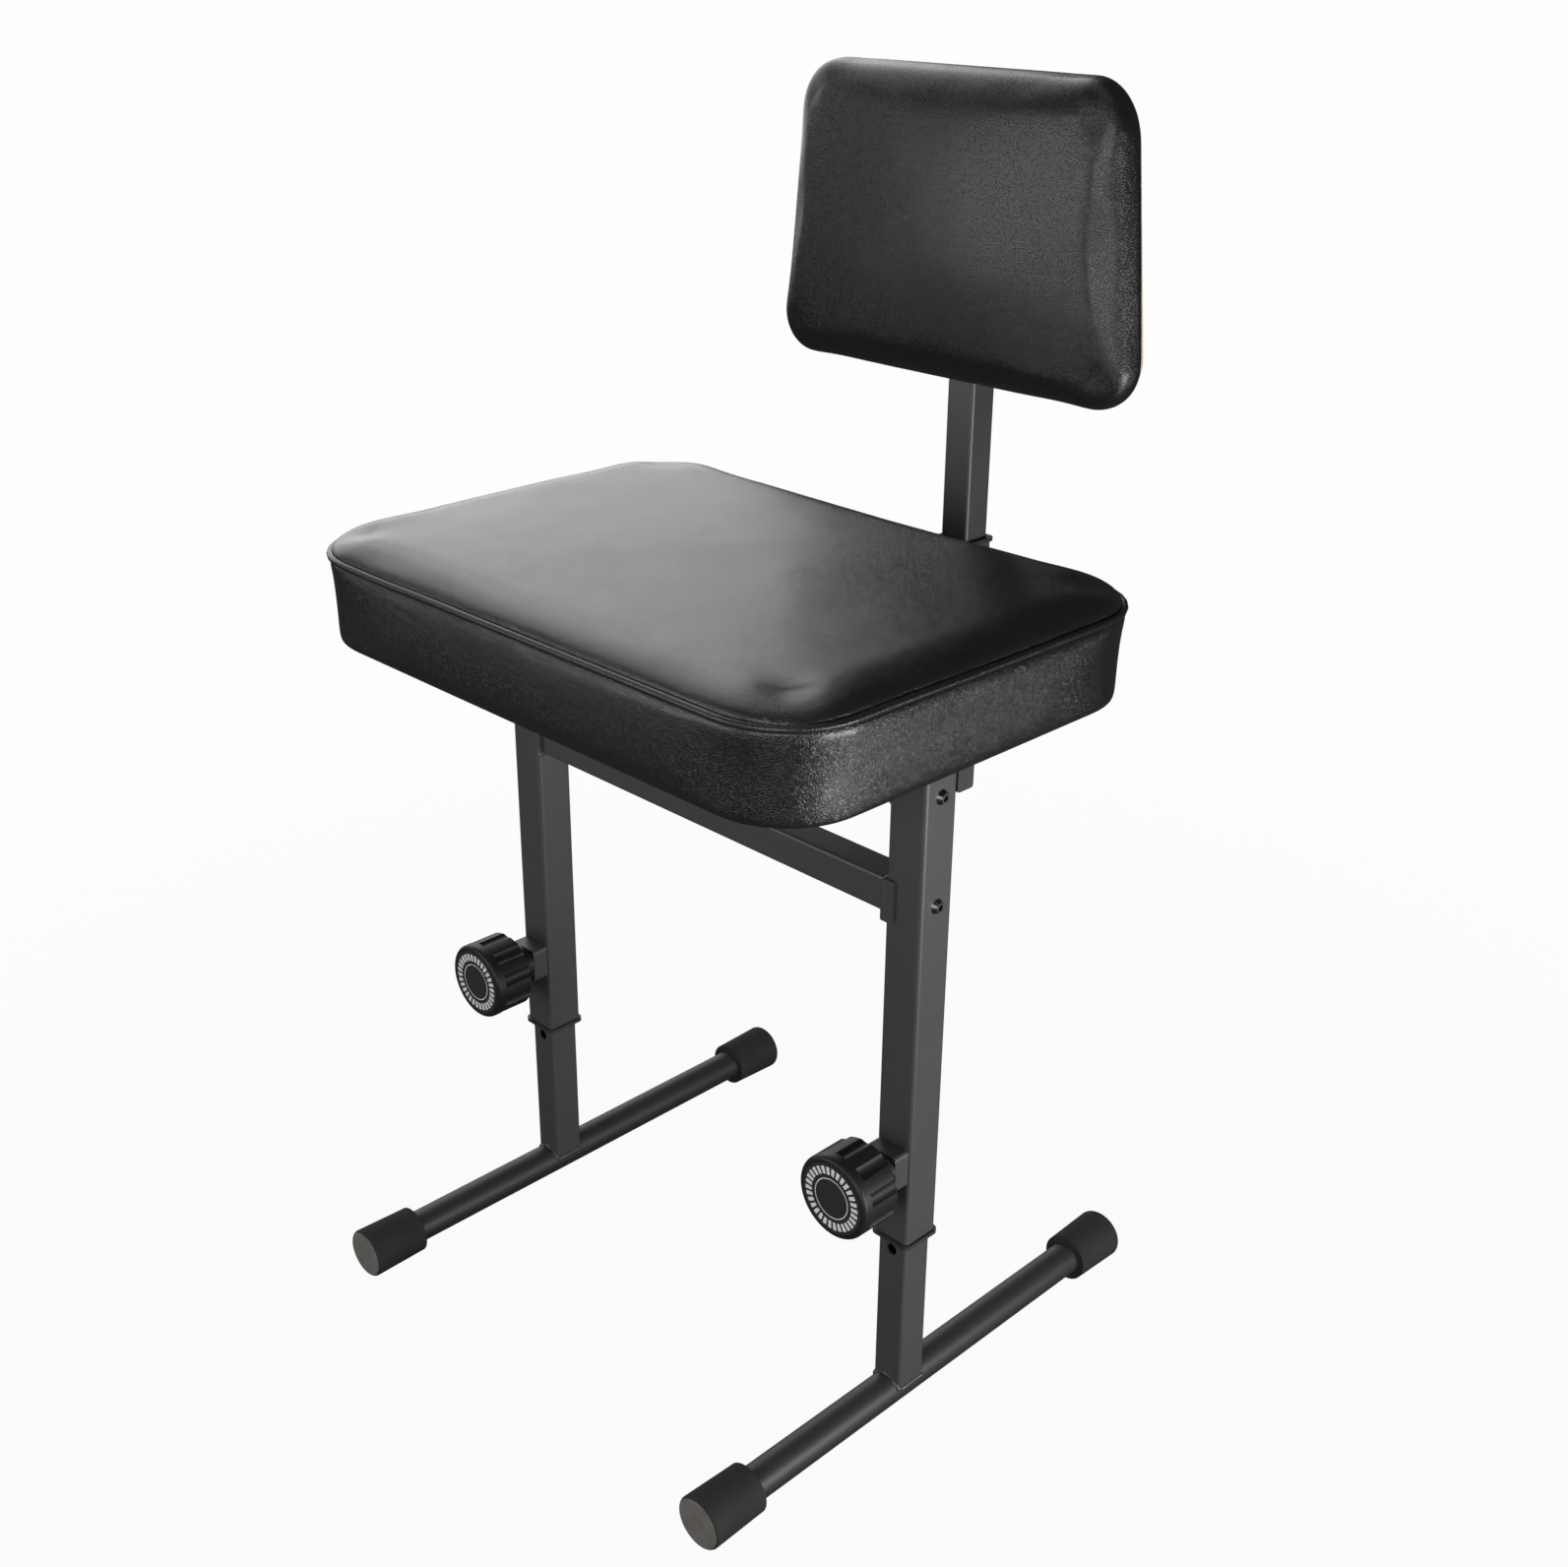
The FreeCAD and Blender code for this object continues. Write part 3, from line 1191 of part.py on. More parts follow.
def finished_pieces():
    """The objects that are pieces of the bench: those that no other piece is made from."""
    kinds = ("PartDesign::Body", "Part::Compound", "Part::Feature")
    pieces = [o for o in doc.Objects if o.TypeId in kinds]
    used = {inner.Name for o in pieces if o.TypeId == "Part::Compound" for inner in o.Links}
    return [o for o in pieces if o.Name not in used]


def write_pieces():
    doc.recompute()
    for item in doc.Objects:
        if "Invalid" in item.State or "Error" in item.State:
            raise RuntimeError("%s did not build: %s" % (item.Label, item.State))
    os.makedirs("parts", exist_ok=True)
    for piece in finished_pieces():
        shape = piece.Shape
        if shape.isNull() or not shape.isValid() or not shape.Solids:
            raise RuntimeError(piece.Label + " has no valid solid")
        box = shape.BoundBox
        print("%-24s %2d solid(s) %10.1f mm3  x %7.1f %7.1f  y %7.1f %7.1f  z %7.1f %7.1f" % (
            piece.Label, len(shape.Solids), shape.Volume,
            box.XMin, box.XMax, box.YMin, box.YMax, box.ZMin, box.ZMax))
        shape.exportStep("parts/" + piece.Label + ".step")


fill_sheet()
build_side("left", -1)
build_side("right", 1)
build_seat()
build_back()
write_pieces()
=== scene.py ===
# %% [markdown]
# # Dressing a keyboard bench
#
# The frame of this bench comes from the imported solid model, which Blender must not move or resize.
# This lesson loads it, gives every solid a finish, and makes the soft pieces new: a boxed seat
# cushion, its piping and the backrest cushion. The bodies that the pieces ride on have the same
# names as in the model's joints.

# %% Load the frame
import math

import bmesh
import bpy
from mathutils import Matrix, Vector, noise


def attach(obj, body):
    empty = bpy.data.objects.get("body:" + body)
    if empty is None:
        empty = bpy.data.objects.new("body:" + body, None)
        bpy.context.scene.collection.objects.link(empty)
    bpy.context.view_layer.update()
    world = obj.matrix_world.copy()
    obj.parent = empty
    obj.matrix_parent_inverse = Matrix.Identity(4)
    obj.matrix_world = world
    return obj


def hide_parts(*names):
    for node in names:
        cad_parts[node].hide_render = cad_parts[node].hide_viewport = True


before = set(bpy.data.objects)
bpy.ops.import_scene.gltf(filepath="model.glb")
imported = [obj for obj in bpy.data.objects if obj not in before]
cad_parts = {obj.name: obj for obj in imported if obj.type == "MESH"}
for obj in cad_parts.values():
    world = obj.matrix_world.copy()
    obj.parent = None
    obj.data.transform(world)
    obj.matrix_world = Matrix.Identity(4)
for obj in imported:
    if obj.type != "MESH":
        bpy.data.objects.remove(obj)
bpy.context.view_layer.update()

# %% [markdown]
# ## The camera
#
# The picture that this scene is set beside was taken from the bench's front right, from a little
# above the seat. A camera's place and its three angles could be found by eye, but a bench has many
# straight edges of known length, so they were fitted to those and are written here as plain numbers.

# %% Camera
CAMERA_PLACE = Vector((0.8903, -0.8923, 0.9786))
CAMERA_BEARING = 44.91
CAMERA_TILT = 24.44
CAMERA_ROLL = 0.60
CAMERA_LENS = 43.69

camera_data = bpy.data.cameras.new("camera")
camera_data.lens = CAMERA_LENS
camera_data.sensor_width = 36.0
camera = bpy.data.objects.new("camera", camera_data)
bpy.context.collection.objects.link(camera)
heading = Matrix.Rotation(math.radians(CAMERA_BEARING), 4, "Z")
tilt = Matrix.Rotation(math.radians(90 - CAMERA_TILT), 4, "X")
roll = Matrix.Rotation(math.radians(CAMERA_ROLL), 4, "Z")
camera.matrix_world = Matrix.Translation(CAMERA_PLACE) @ heading @ tilt @ roll
bpy.context.scene.camera = camera
print("camera:", tuple(round(v, 3) for v in camera.location), "lens", CAMERA_LENS)

# %% [markdown]
# ## The studio
#
# A product like this stands on a pale sweep of paper between large soft lamps. The white that the
# camera sees behind the bench is a world of its own, set apart with the Light Path node, and not
# more light on the bench. A white world all round would also be mirrored in the vinyl and turn it
# grey. So what lights the bench and shows in its gloss is a dim room with one wide window, which
# gives the seat the single soft reflection that runs over it and ends at the window's frame.

# %% World and background
world = bpy.data.worlds.new("studio")
bpy.context.scene.world = world
world.use_nodes = True
world_nodes, world_links = world.node_tree.nodes, world.node_tree.links
world_nodes.clear()
world_out = world_nodes.new("ShaderNodeOutputWorld")
light_path = world_nodes.new("ShaderNodeLightPath")

ROOM_LIGHT = 0.06
WINDOW_LIGHT = 2.0
WINDOW_MIDDLE = Vector((-0.86, 0.45, 0.30)).normalized()
WINDOW_GLOW = (0.60, 0.95)
WINDOW_FRAME = Vector((-0.743, -0.669, 0.0))
FRAME_EDGE = (0.0, 0.07)
BACKGROUND_WHITE = 0.985
WHITE = (1.0, 1.0, 1.0, 1.0)


def background(strength):
    node = world_nodes.new("ShaderNodeBackground")
    node.inputs["Color"].default_value = WHITE
    node.inputs["Strength"].default_value = strength
    return node


def towards(direction, low, high):
    """A factor that rises from 0 to 1 as a ray turns towards a direction."""
    way = world_nodes.new("ShaderNodeTexCoord")
    share = world_nodes.new("ShaderNodeVectorMath")
    share.operation = "DOT_PRODUCT"
    share.inputs[1].default_value = direction
    spread = world_nodes.new("ShaderNodeMapRange")
    spread.interpolation_type = "SMOOTHSTEP"
    spread.inputs["From Min"].default_value = low
    spread.inputs["From Max"].default_value = high
    world_links.new(way.outputs["Generated"], share.inputs[0])
    world_links.new(share.outputs["Value"], spread.inputs["Value"])
    return spread.outputs["Result"]


def in_window():
    """The window's round glow, cut off at its frame."""
    both = world_nodes.new("ShaderNodeMath")
    both.operation = "MULTIPLY"
    world_links.new(towards(WINDOW_MIDDLE, *WINDOW_GLOW), both.inputs[0])
    world_links.new(towards(WINDOW_FRAME, *FRAME_EDGE), both.inputs[1])
    return both.outputs[0]


def mix_worlds(factor, first, second):
    node = world_nodes.new("ShaderNodeMixShader")
    world_links.new(factor, node.inputs[0])
    world_links.new(first.outputs[0], node.inputs[1])
    world_links.new(second.outputs[0], node.inputs[2])
    return node


room = mix_worlds(in_window(), background(ROOM_LIGHT), background(WINDOW_LIGHT))
world_mix = mix_worlds(light_path.outputs["Is Camera Ray"], room, background(BACKGROUND_WHITE))
world_links.new(world_mix.outputs[0], world_out.inputs["Surface"])
bpy.context.scene.view_settings.view_transform = "Standard"
print("world: room", ROOM_LIGHT, "window", WINDOW_LIGHT, "background", BACKGROUND_WHITE)

# %% Soft lamps


def softbox(name, place, aim, width, height, watts):
    """A large rectangular lamp that faces a point."""
    data = bpy.data.lights.new(name, "AREA")
    data.shape = "RECTANGLE"
    data.size, data.size_y = width, height
    data.energy = watts
    lamp = bpy.data.objects.new(name, data)
    bpy.context.collection.objects.link(lamp)
    lamp.location = place
    lamp.visible_camera = False
    lamp.rotation_mode = "QUATERNION"
    lamp.rotation_quaternion = (Vector(aim) - Vector(place)).to_track_quat("-Z", "Y")


SEAT_MIDDLE = (0.0, -0.07, 0.58)
BACK_MIDDLE = (0.0, 0.14, 0.78)
RIGHT_LEG = (0.2, -0.07, 0.16)
softbox("lamp_window_left", (-2.1, 1.2, 2.6), SEAT_MIDDLE, 1.6, 1.2, 8)
softbox("lamp_overhead", (0.3, -0.6, 3.2), SEAT_MIDDLE, 2.2, 2.2, 9)
softbox("lamp_front", (-1.12, -2.18, 0.74), BACK_MIDDLE, 1.3, 1.1, 21)
softbox("lamp_legs_front", (1.1, -1.9, 0.9), RIGHT_LEG, 1.4, 1.0, 25)
softbox("lamp_legs_right", (1.35, 0.12, 0.22), RIGHT_LEG, 0.8, 0.36, 20)

# %% [markdown]
# ## Tools for modelling by hand
#
# The operators of `bpy.ops` act on whatever is selected, and loading the frame leaves its solids
# selected. So every step first deselects everything, and faces or edges are chosen by where they
# are or which way they face.

# %% Helpers for operators


def only(thing):
    """Makes one object the selected and active one."""
    if bpy.context.object and bpy.context.object.mode != "OBJECT":
        bpy.ops.object.mode_set(mode="OBJECT")
    bpy.ops.object.select_all(action="DESELECT")
    thing.select_set(True)
    bpy.context.view_layer.objects.active = thing
    return thing


def begin_edit(thing, mode="FACE"):
    only(thing)
    bpy.ops.object.mode_set(mode="EDIT")
    bpy.ops.mesh.select_mode(type=mode)
    bpy.ops.mesh.select_all(action="DESELECT")


def end_edit():
    bpy.ops.object.mode_set(mode="OBJECT")


def choose_faces(thing, wanted):
    """Selects the faces whose centre and normal pass the test."""
    mesh = bmesh.from_edit_mesh(thing.data)
    bpy.ops.mesh.select_all(action="DESELECT")
    for face in mesh.faces:
        if wanted(face.calc_center_median(), face.normal):
            face.select_set(True)
    bmesh.update_edit_mesh(thing.data)


def choose_edges(thing, wanted):
    """Selects the edges whose two ends pass the test."""
    mesh = bmesh.from_edit_mesh(thing.data)
    bpy.ops.mesh.select_all(action="DESELECT")
    for edge in mesh.edges:
        if wanted(edge.verts[0].co, edge.verts[1].co):
            edge.select_set(True)
    bmesh.update_edit_mesh(thing.data)


def apply_modifier(thing, kind, **settings):
    only(thing)
    modifier = thing.modifiers.new(kind.lower(), kind)
    for key, value in settings.items():
        setattr(modifier, key, value)
    bpy.ops.object.modifier_apply(modifier=modifier.name)


def set_in_place(thing, place, stood_up=False):
    """Moves a finished mesh to its place on the bench, and first stands up what was made lying."""
    begin_edit(thing)
    bpy.ops.mesh.select_all(action="SELECT")
    if stood_up:
        bpy.ops.transform.rotate(value=-math.pi / 2, orient_axis="X", center_override=(0, 0, 0))
    bpy.ops.transform.translate(value=place)
    bpy.ops.mesh.normals_make_consistent(inside=False)
    end_edit()


def round_cord(line, radius):
    """Makes a closed line of edges a round cord."""
    only(line)
    bpy.ops.object.convert(target="CURVE")
    cord = bpy.context.object
    cord.data.bevel_depth = radius
    cord.data.bevel_resolution = 3
    bpy.ops.object.convert(target="MESH")
    return bpy.context.object


def smooth(thing, angle):
    only(thing)
    bpy.ops.object.shade_smooth_by_angle(angle=math.radians(angle))


print("helpers ready")

# %% [markdown]
# ## Writing materials as sums
#
# A finish is built from small sums: a noise times a strength plus a base. Blender writes such sums
# as nodes, one per operation. The class below wraps a node's output, so that ordinary Python signs
# make those nodes, and one method makes any other node from its settings and inputs.

# %% Shader sums


class Signal:
    """A number or colour that changes over a surface."""

    def __init__(self, finish, socket):
        self.finish = finish
        self.socket = socket

    def maths(self, operation, *values):
        return self.finish.node("ShaderNodeMath", {"operation": operation}, *values)

    def __add__(self, other):
        return self.maths("ADD", self, other)

    def __radd__(self, other):
        return self.maths("ADD", other, self)

    def __sub__(self, other):
        return self.maths("SUBTRACT", self, other)

    def __rsub__(self, other):
        return self.maths("SUBTRACT", other, self)

    def __mul__(self, other):
        return self.maths("MULTIPLY", self, other)

    def __rmul__(self, other):
        return self.maths("MULTIPLY", other, self)

    def __pow__(self, other):
        return self.maths("POWER", self, other)

    def __gt__(self, other):
        return self.maths("GREATER_THAN", self, other)

    def __lt__(self, other):
        return self.maths("LESS_THAN", self, other)

    def clipped(self):
        return self.finish.node("ShaderNodeClamp", {}, self, 0.0, 1.0)


class Finish:
    """A procedural material for one finish of the bench."""

    def __init__(self, name, colour, roughness, metallic=0.0, specular=0.5):
        self.material = bpy.data.materials.new(name)
        self.material.use_nodes = True
        self.tree = self.material.node_tree
        self.shader = next(n for n in self.tree.nodes if n.type == "BSDF_PRINCIPLED")
        self.set("Base Color", (*colour, 1.0))
        self.set("Roughness", roughness)
        self.set("Metallic", metallic)
        self.set("Specular IOR Level", specular)
        self.material.diffuse_color = (*colour, 1.0)
        self.place = self.output("ShaderNodeTexCoord", "Object")

    def feed(self, socket, value):
        if isinstance(value, Signal):
            self.tree.links.new(value.socket, socket)
        else:
            socket.default_value = value

    def set(self, name, value):
        self.feed(self.shader.inputs[name], value)

    def output(self, kind, name, settings=None, **inputs):
        node = self.tree.nodes.new(kind)
        for key, value in (settings or {}).items():
            setattr(node, key, value)
        for key, value in inputs.items():
            self.feed(node.inputs[key], value)
        return Signal(self, node.outputs[name])

    def node(self, kind, settings, *values):
        """Any node from its settings and the values or links of its first inputs."""
        node = self.tree.nodes.new(kind)
        for key, value in settings.items():
            setattr(node, key, value)
        for socket, value in zip(node.inputs, values):
            self.feed(socket, value)
        return Signal(self, node.outputs[0])

    def speckle(self, scale, detail=2.0, rough=0.5, place=None):
        """Noise between 0 and 1."""
        return self.output("ShaderNodeTexNoise", "Fac", None, Vector=place or self.place,
                           Scale=scale, Detail=detail, Roughness=rough)

    def cells(self, scale, place=None):
        """Distance to the border of small cells, for grain."""
        return self.output("ShaderNodeTexVoronoi", "Distance", {"feature": "DISTANCE_TO_EDGE"},
                           Vector=place or self.place, Scale=scale)

    def stretched(self, x, y, z):
        """The surface's place with its axes stretched, for brushed or grained stuff."""
        return self.output("ShaderNodeMapping", "Vector", None, Vector=self.place, Scale=(x, y, z))

    def axis(self, letter):
        return self.output("ShaderNodeSeparateXYZ", letter, None, Vector=self.place)

    def blend(self, factor, first, second):
        """A colour between two, by a factor."""
        node = self.tree.nodes.new("ShaderNodeMix")
        node.data_type = "RGBA"
        self.feed(node.inputs[0], factor)
        for socket, value in ((node.inputs[6], first), (node.inputs[7], second)):
            self.feed(socket, value if isinstance(value, Signal) else (*value, 1.0))
        return Signal(self, node.outputs[2])

    def relief(self, height, depth):
        """Bumps of a real depth, in metres."""
        bump = self.output("ShaderNodeBump", "Normal", None, Strength=1.0, Distance=depth,
                           Height=height)
        self.set("Normal", bump)


print("shader sums ready")

# %% [markdown]
# ## Finishes
#
# The bench is nearly all black, so its finishes differ in their gloss and in their grain more than
# in their colour. Powder coat is a satin black with a fine orange peel; moulded plastic has an even
# eroded texture; rubber is dull and takes up dust; vinyl has small rounded cells, like leather, and
# shines at a low angle.

# %% Powder coat
powder_coat = Finish("black_powder_coat", (0.048, 0.047, 0.047), 0.42)
peel = powder_coat.speckle(750.0, 3.0)
cloud = powder_coat.speckle(9.0, 4.0)
powder_colour = powder_coat.blend(cloud, (0.032, 0.0315, 0.0315), (0.044, 0.0433, 0.0433))
powder_coat.set("Base Color", powder_colour)
powder_coat.set("Roughness", 0.36 + 0.10 * cloud + 0.06 * peel)
powder_coat.relief(peel, 0.00008)

tube_coat = Finish("black_tube_coat", (0.016, 0.016, 0.017), 0.5, specular=0.4)
tube_peel = tube_coat.speckle(750.0, 3.0)
tube_coat.set("Roughness", 0.46 + 0.08 * tube_peel)
tube_coat.relief(tube_peel, 0.00002)
print("made", powder_coat.material.name, tube_coat.material.name)

# %% Plastics
moulded_plastic = Finish("black_moulded_plastic", (0.014, 0.014, 0.015), 0.5)
erosion = moulded_plastic.speckle(1500.0, 2.0)
moulded_plastic.set("Roughness", 0.42 + 0.16 * erosion)
moulded_plastic.relief(erosion, 0.00006)

knob_plastic = Finish("black_knob_plastic", (0.008, 0.008, 0.009), 0.42, specular=0.25)
knob_grain = knob_plastic.speckle(1300.0, 2.0)
handled = knob_plastic.speckle(60.0, 3.0)
knob_plastic.set("Roughness", 0.34 + 0.12 * knob_grain + 0.10 * handled)
knob_plastic.relief(knob_grain, 0.00008)
print("made", moulded_plastic.material.name, knob_plastic.material.name)

# %% [markdown]
# ## Printed knob discs
#
# Each knob has a film on its face with a ring of pale ticks around a thin line. The marks could be
# cut as geometry, but they are print, so they are drawn in the finish: the angle around the knob's
# middle is split into equal shares, and each share is part tick and part gap. The print is worn
# here and there, as on a knob that is pulled often.

# %% Printed knob discs
TICKS = 30
TICK_SHARE = 0.62
TICK_RING = (0.0178, 0.0234)
THIN_RING = (0.0142, 0.0149)
LEG_SIDE = 0.1933
LEG_KNOB_HEIGHT = 0.2165
BACK_KNOB_HEIGHT = 0.489


def disc_finish(name, middle_x, middle_z):
    """Black film with a plain ring of printed ticks around its own middle."""
    disc = Finish(name, (0.02, 0.02, 0.022), 0.35)
    side = disc.axis("X") - middle_x
    rise = disc.axis("Z") - middle_z
    reach = (side * side + rise * rise) ** 0.5
    turn = rise.maths("ARCTAN2", rise, side) * (TICKS / math.tau)
    share = turn.maths("FRACT", turn)
    ring = (reach > TICK_RING[0]) * (reach < TICK_RING[1]) * (share < TICK_SHARE)
    thin = (reach > THIN_RING[0]) * (reach < THIN_RING[1])
    wear = (disc.speckle(420.0, 4.0, 0.6) * 1.7 - 0.35).clipped()
    print_share = ring.maths("MAXIMUM", ring, thin) * (0.55 + 0.45 * wear)
    disc.set("Base Color", disc.blend(print_share, (0.018, 0.018, 0.020), (0.75, 0.76, 0.75)))
    disc.set("Roughness", 0.30 + 0.15 * wear)
    disc.relief(wear, 0.00002)
    return disc


left_disc = disc_finish("left_disc_film", -LEG_SIDE, LEG_KNOB_HEIGHT)
right_disc = disc_finish("right_disc_film", LEG_SIDE, LEG_KNOB_HEIGHT)
back_disc = disc_finish("back_disc_film", 0.0, BACK_KNOB_HEIGHT)
print("made three disc films with", TICKS, "ticks")

# %% [markdown]
# ## Rubber, steel, wood and vinyl
#
# The foot caps are paler on their flat ends, front and back, so the finish asks how far front or
# back a point lies. Wood and brushed zinc are noise that is stretched along the grain. The vinyl's
# leather grain is a pattern of cells, bent a little by noise so that no border is straight, and its
# gloss comes in patches, because hands and heat polish it unevenly.

# %% Rubber
CAP_ENDS = (-0.2662, 0.1717)
rubber = Finish("black_rubber", (0.030, 0.031, 0.033), 0.8, specular=0.2)
pores = rubber.speckle(900.0, 4.0, 0.6)
dust = rubber.speckle(45.0, 5.0, 0.6)
along = rubber.axis("Y")
# The caps' flat ends, front and back, are coloured paler than their sides and mottled by noise.
end_face = along.maths("MAXIMUM", along < CAP_ENDS[0], along > CAP_ENDS[1])
end_mottle = (rubber.speckle(160.0, 5.0, 0.65) * 1.8 - 0.3).clipped()
sides = rubber.blend(dust, (0.011, 0.011, 0.012), (0.022, 0.022, 0.023))
ends = rubber.blend(end_mottle, (0.085, 0.080, 0.074), (0.14, 0.132, 0.12))
rubber.set("Base Color", rubber.blend(end_face, sides, ends))
rubber.set("Roughness", 0.70 + 0.20 * pores)
rubber.relief(pores, 0.00015)
print("made", rubber.material.name)

# %% Zinc, blackened steel and plywood
zinc = Finish("zinc_plate", (0.60, 0.60, 0.58), 0.32, metallic=1.0)
brushed = zinc.speckle(1.0, 3.0, 0.5, zinc.stretched(900.0, 900.0, 120.0))
zinc.set("Roughness", 0.26 + 0.16 * brushed)
zinc.set("Base Color", zinc.blend(brushed, (0.52, 0.52, 0.50), (0.66, 0.66, 0.64)))

black_steel = Finish("blackened_steel", (0.10, 0.10, 0.11), 0.33, metallic=1.0)
oxide = black_steel.speckle(500.0, 3.0)
black_steel.set("Base Color", black_steel.blend(oxide, (0.06, 0.06, 0.065), (0.15, 0.15, 0.16)))
black_steel.set("Roughness", 0.28 + 0.14 * oxide)

plywood = Finish("board_plywood", (0.56, 0.41, 0.26), 0.7)
veneer = plywood.speckle(1.0, 6.0, 0.65, plywood.stretched(9.0, 160.0, 260.0))
flecks = plywood.speckle(1.0, 3.0, 0.6, plywood.stretched(60.0, 900.0, 900.0))
grain = (veneer * 0.7 + flecks * 0.3).clipped()
plywood.set("Base Color", plywood.blend(grain, (0.40, 0.27, 0.15), (0.70, 0.55, 0.37)))
plywood.set("Roughness", 0.62 + 0.2 * flecks)
plywood.relief(flecks, 0.0001)

foam_stuff = Finish("foam", (0.80, 0.77, 0.66), 0.95)
foam_cells = foam_stuff.cells(900.0)
foam_stuff.set("Base Color", foam_stuff.blend(foam_cells, (0.70, 0.66, 0.54), (0.84, 0.81, 0.70)))
foam_stuff.relief(foam_cells, 0.0004)
print("made", zinc.material.name, black_steel.material.name, plywood.material.name)

# %% Vinyl


def vinyl_finish(name, low_gloss, high_gloss, grain_depth, crease_share):
    """Black upholstery vinyl with a leather grain, broad creases and a patchy gloss."""
    vinyl = Finish(name, (0.011, 0.0115, 0.013), 0.35, specular=0.45)
    wobble = vinyl.speckle(220.0, 2.0)
    shifted = vinyl.output("ShaderNodeVectorMath", "Vector", {"operation": "ADD"})
    node = shifted.socket.node
    vinyl.feed(node.inputs[0], vinyl.place)
    vinyl.feed(node.inputs[1], vinyl.output("ShaderNodeCombineXYZ", "Vector", None,
                                            X=wobble * 0.0012, Y=wobble * 0.0009, Z=wobble * 0.0012))
    cell = (vinyl.cells(780.0, place=shifted) * 6.0).clipped()
    fine = vinyl.speckle(2600.0, 2.0)
    patches = vinyl.speckle(11.0, 5.0, 0.6)
    creases = vinyl.speckle(1.0, 4.0, 0.55, vinyl.stretched(26.0, 60.0, 60.0))
    vinyl.set("Base Color", vinyl.blend(patches, (0.006, 0.0063, 0.0075), (0.010, 0.0104, 0.012)))
    spread = high_gloss - low_gloss
    vinyl.set("Roughness", low_gloss + spread * patches + 0.05 * (1.0 - cell))
    height = cell * 0.75 + fine * 0.10 + creases * crease_share
    vinyl.relief(height, grain_depth)
    return vinyl


seat_vinyl = vinyl_finish("seat_vinyl", 0.15, 0.25, 0.00010, 0.9)
back_vinyl = vinyl_finish("back_vinyl", 0.20, 0.28, 0.00009, 0.4)
piping_vinyl = vinyl_finish("piping_vinyl", 0.20, 0.30, 0.00008, 0.4)
print("made", seat_vinyl.material.name, back_vinyl.material.name, piping_vinyl.material.name)

# %% [markdown]
# ## Finishes on the solids
#
# The solids keep their shape and get their finish by name, from the words in it.

# %% Dress the solids


def finish_for(node):
    words = (("foot_cap", rubber), ("foot_tube", tube_coat), ("left_knob_disc", left_disc),
             ("right_knob_disc", right_disc), ("back_knob_disc", back_disc), ("knob_pin", zinc),
             ("knob_spring", zinc), ("knob_boss", powder_coat), ("_knob", knob_plastic),
             ("collar", moulded_plastic), ("glide", moulded_plastic), ("plug", moulded_plastic),
             ("end_caps", moulded_plastic), ("leg_bolts", black_steel), ("screws", black_steel),
             ("nuts", zinc), ("board", plywood), ("foam", foam_stuff), ("piping", piping_vinyl),
             ("cover", seat_vinyl))
    for word, finish in words:
        if word in node:
            return finish
    return powder_coat


for node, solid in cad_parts.items():
    solid.data.materials.clear()
    solid.data.materials.append(finish_for(node).material)
    for face in solid.data.polygons:
        face.material_index = 0
print("dressed", len(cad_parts), "solids")

# %% [markdown]
# ## Upholstered blocks
#
# Both cushions of this bench are made alike: a foam slab on a plywood board, under a vinyl cover
# that is pulled around it and stapled behind the board. So both start as a cube whose four upright
# edges are bevelled. Rows are cut around its wall, and each end is filled, inset ring by ring and
# closed with a grid. Every ring can then be put at its own place in the profile of the real
# cushion. Even rings keep a sewn seam sharp, which a voxel remesh would blur.
#
# A plan comes first. It says of any point how deep it lies inside the cushion's outline, and moves
# points to a depth.

# %% The outline of a cushion
TINY = 1e-5


class Plan:
    """A rounded rectangle around the origin, in which points are placed by their depth inside it."""

    def __init__(self, half_x, half_y, corner):
        self.half_x, self.half_y, self.corner = half_x, half_y, corner

    def core(self, point):
        reach_x, reach_y = self.half_x - self.corner, self.half_y - self.corner
        return Vector((max(-reach_x, min(reach_x, point.x)), max(-reach_y, min(reach_y, point.y))))

    def outward(self, point):
        """The direction away from the plan's middle part, or nothing inside that part."""
        return Vector((point.x, point.y)) - self.core(point)

    def depth(self, point):
        return self.corner - self.outward(point).length

    def put(self, point, depth):
        """Moves a point to a depth inside the outline, along its own direction."""
        away = self.outward(point)
        if away.length > TINY:
            point.x, point.y = self.core(point) + away.normalized() * (self.corner - depth)

    def in_corner(self, point):
        """How far round a corner a point is, from 0 on a straight side to 1 on the diagonal."""
        away = self.outward(point)
        if away.length < TINY:
            return 0.0
        return abs(math.sin(2.0 * math.atan2(away.y, away.x)))


print("a plan finds the depth of a point inside a rounded outline")

# %% Wall and rings of a block
ARC_CUTS = 8
RING_STEP = 0.002


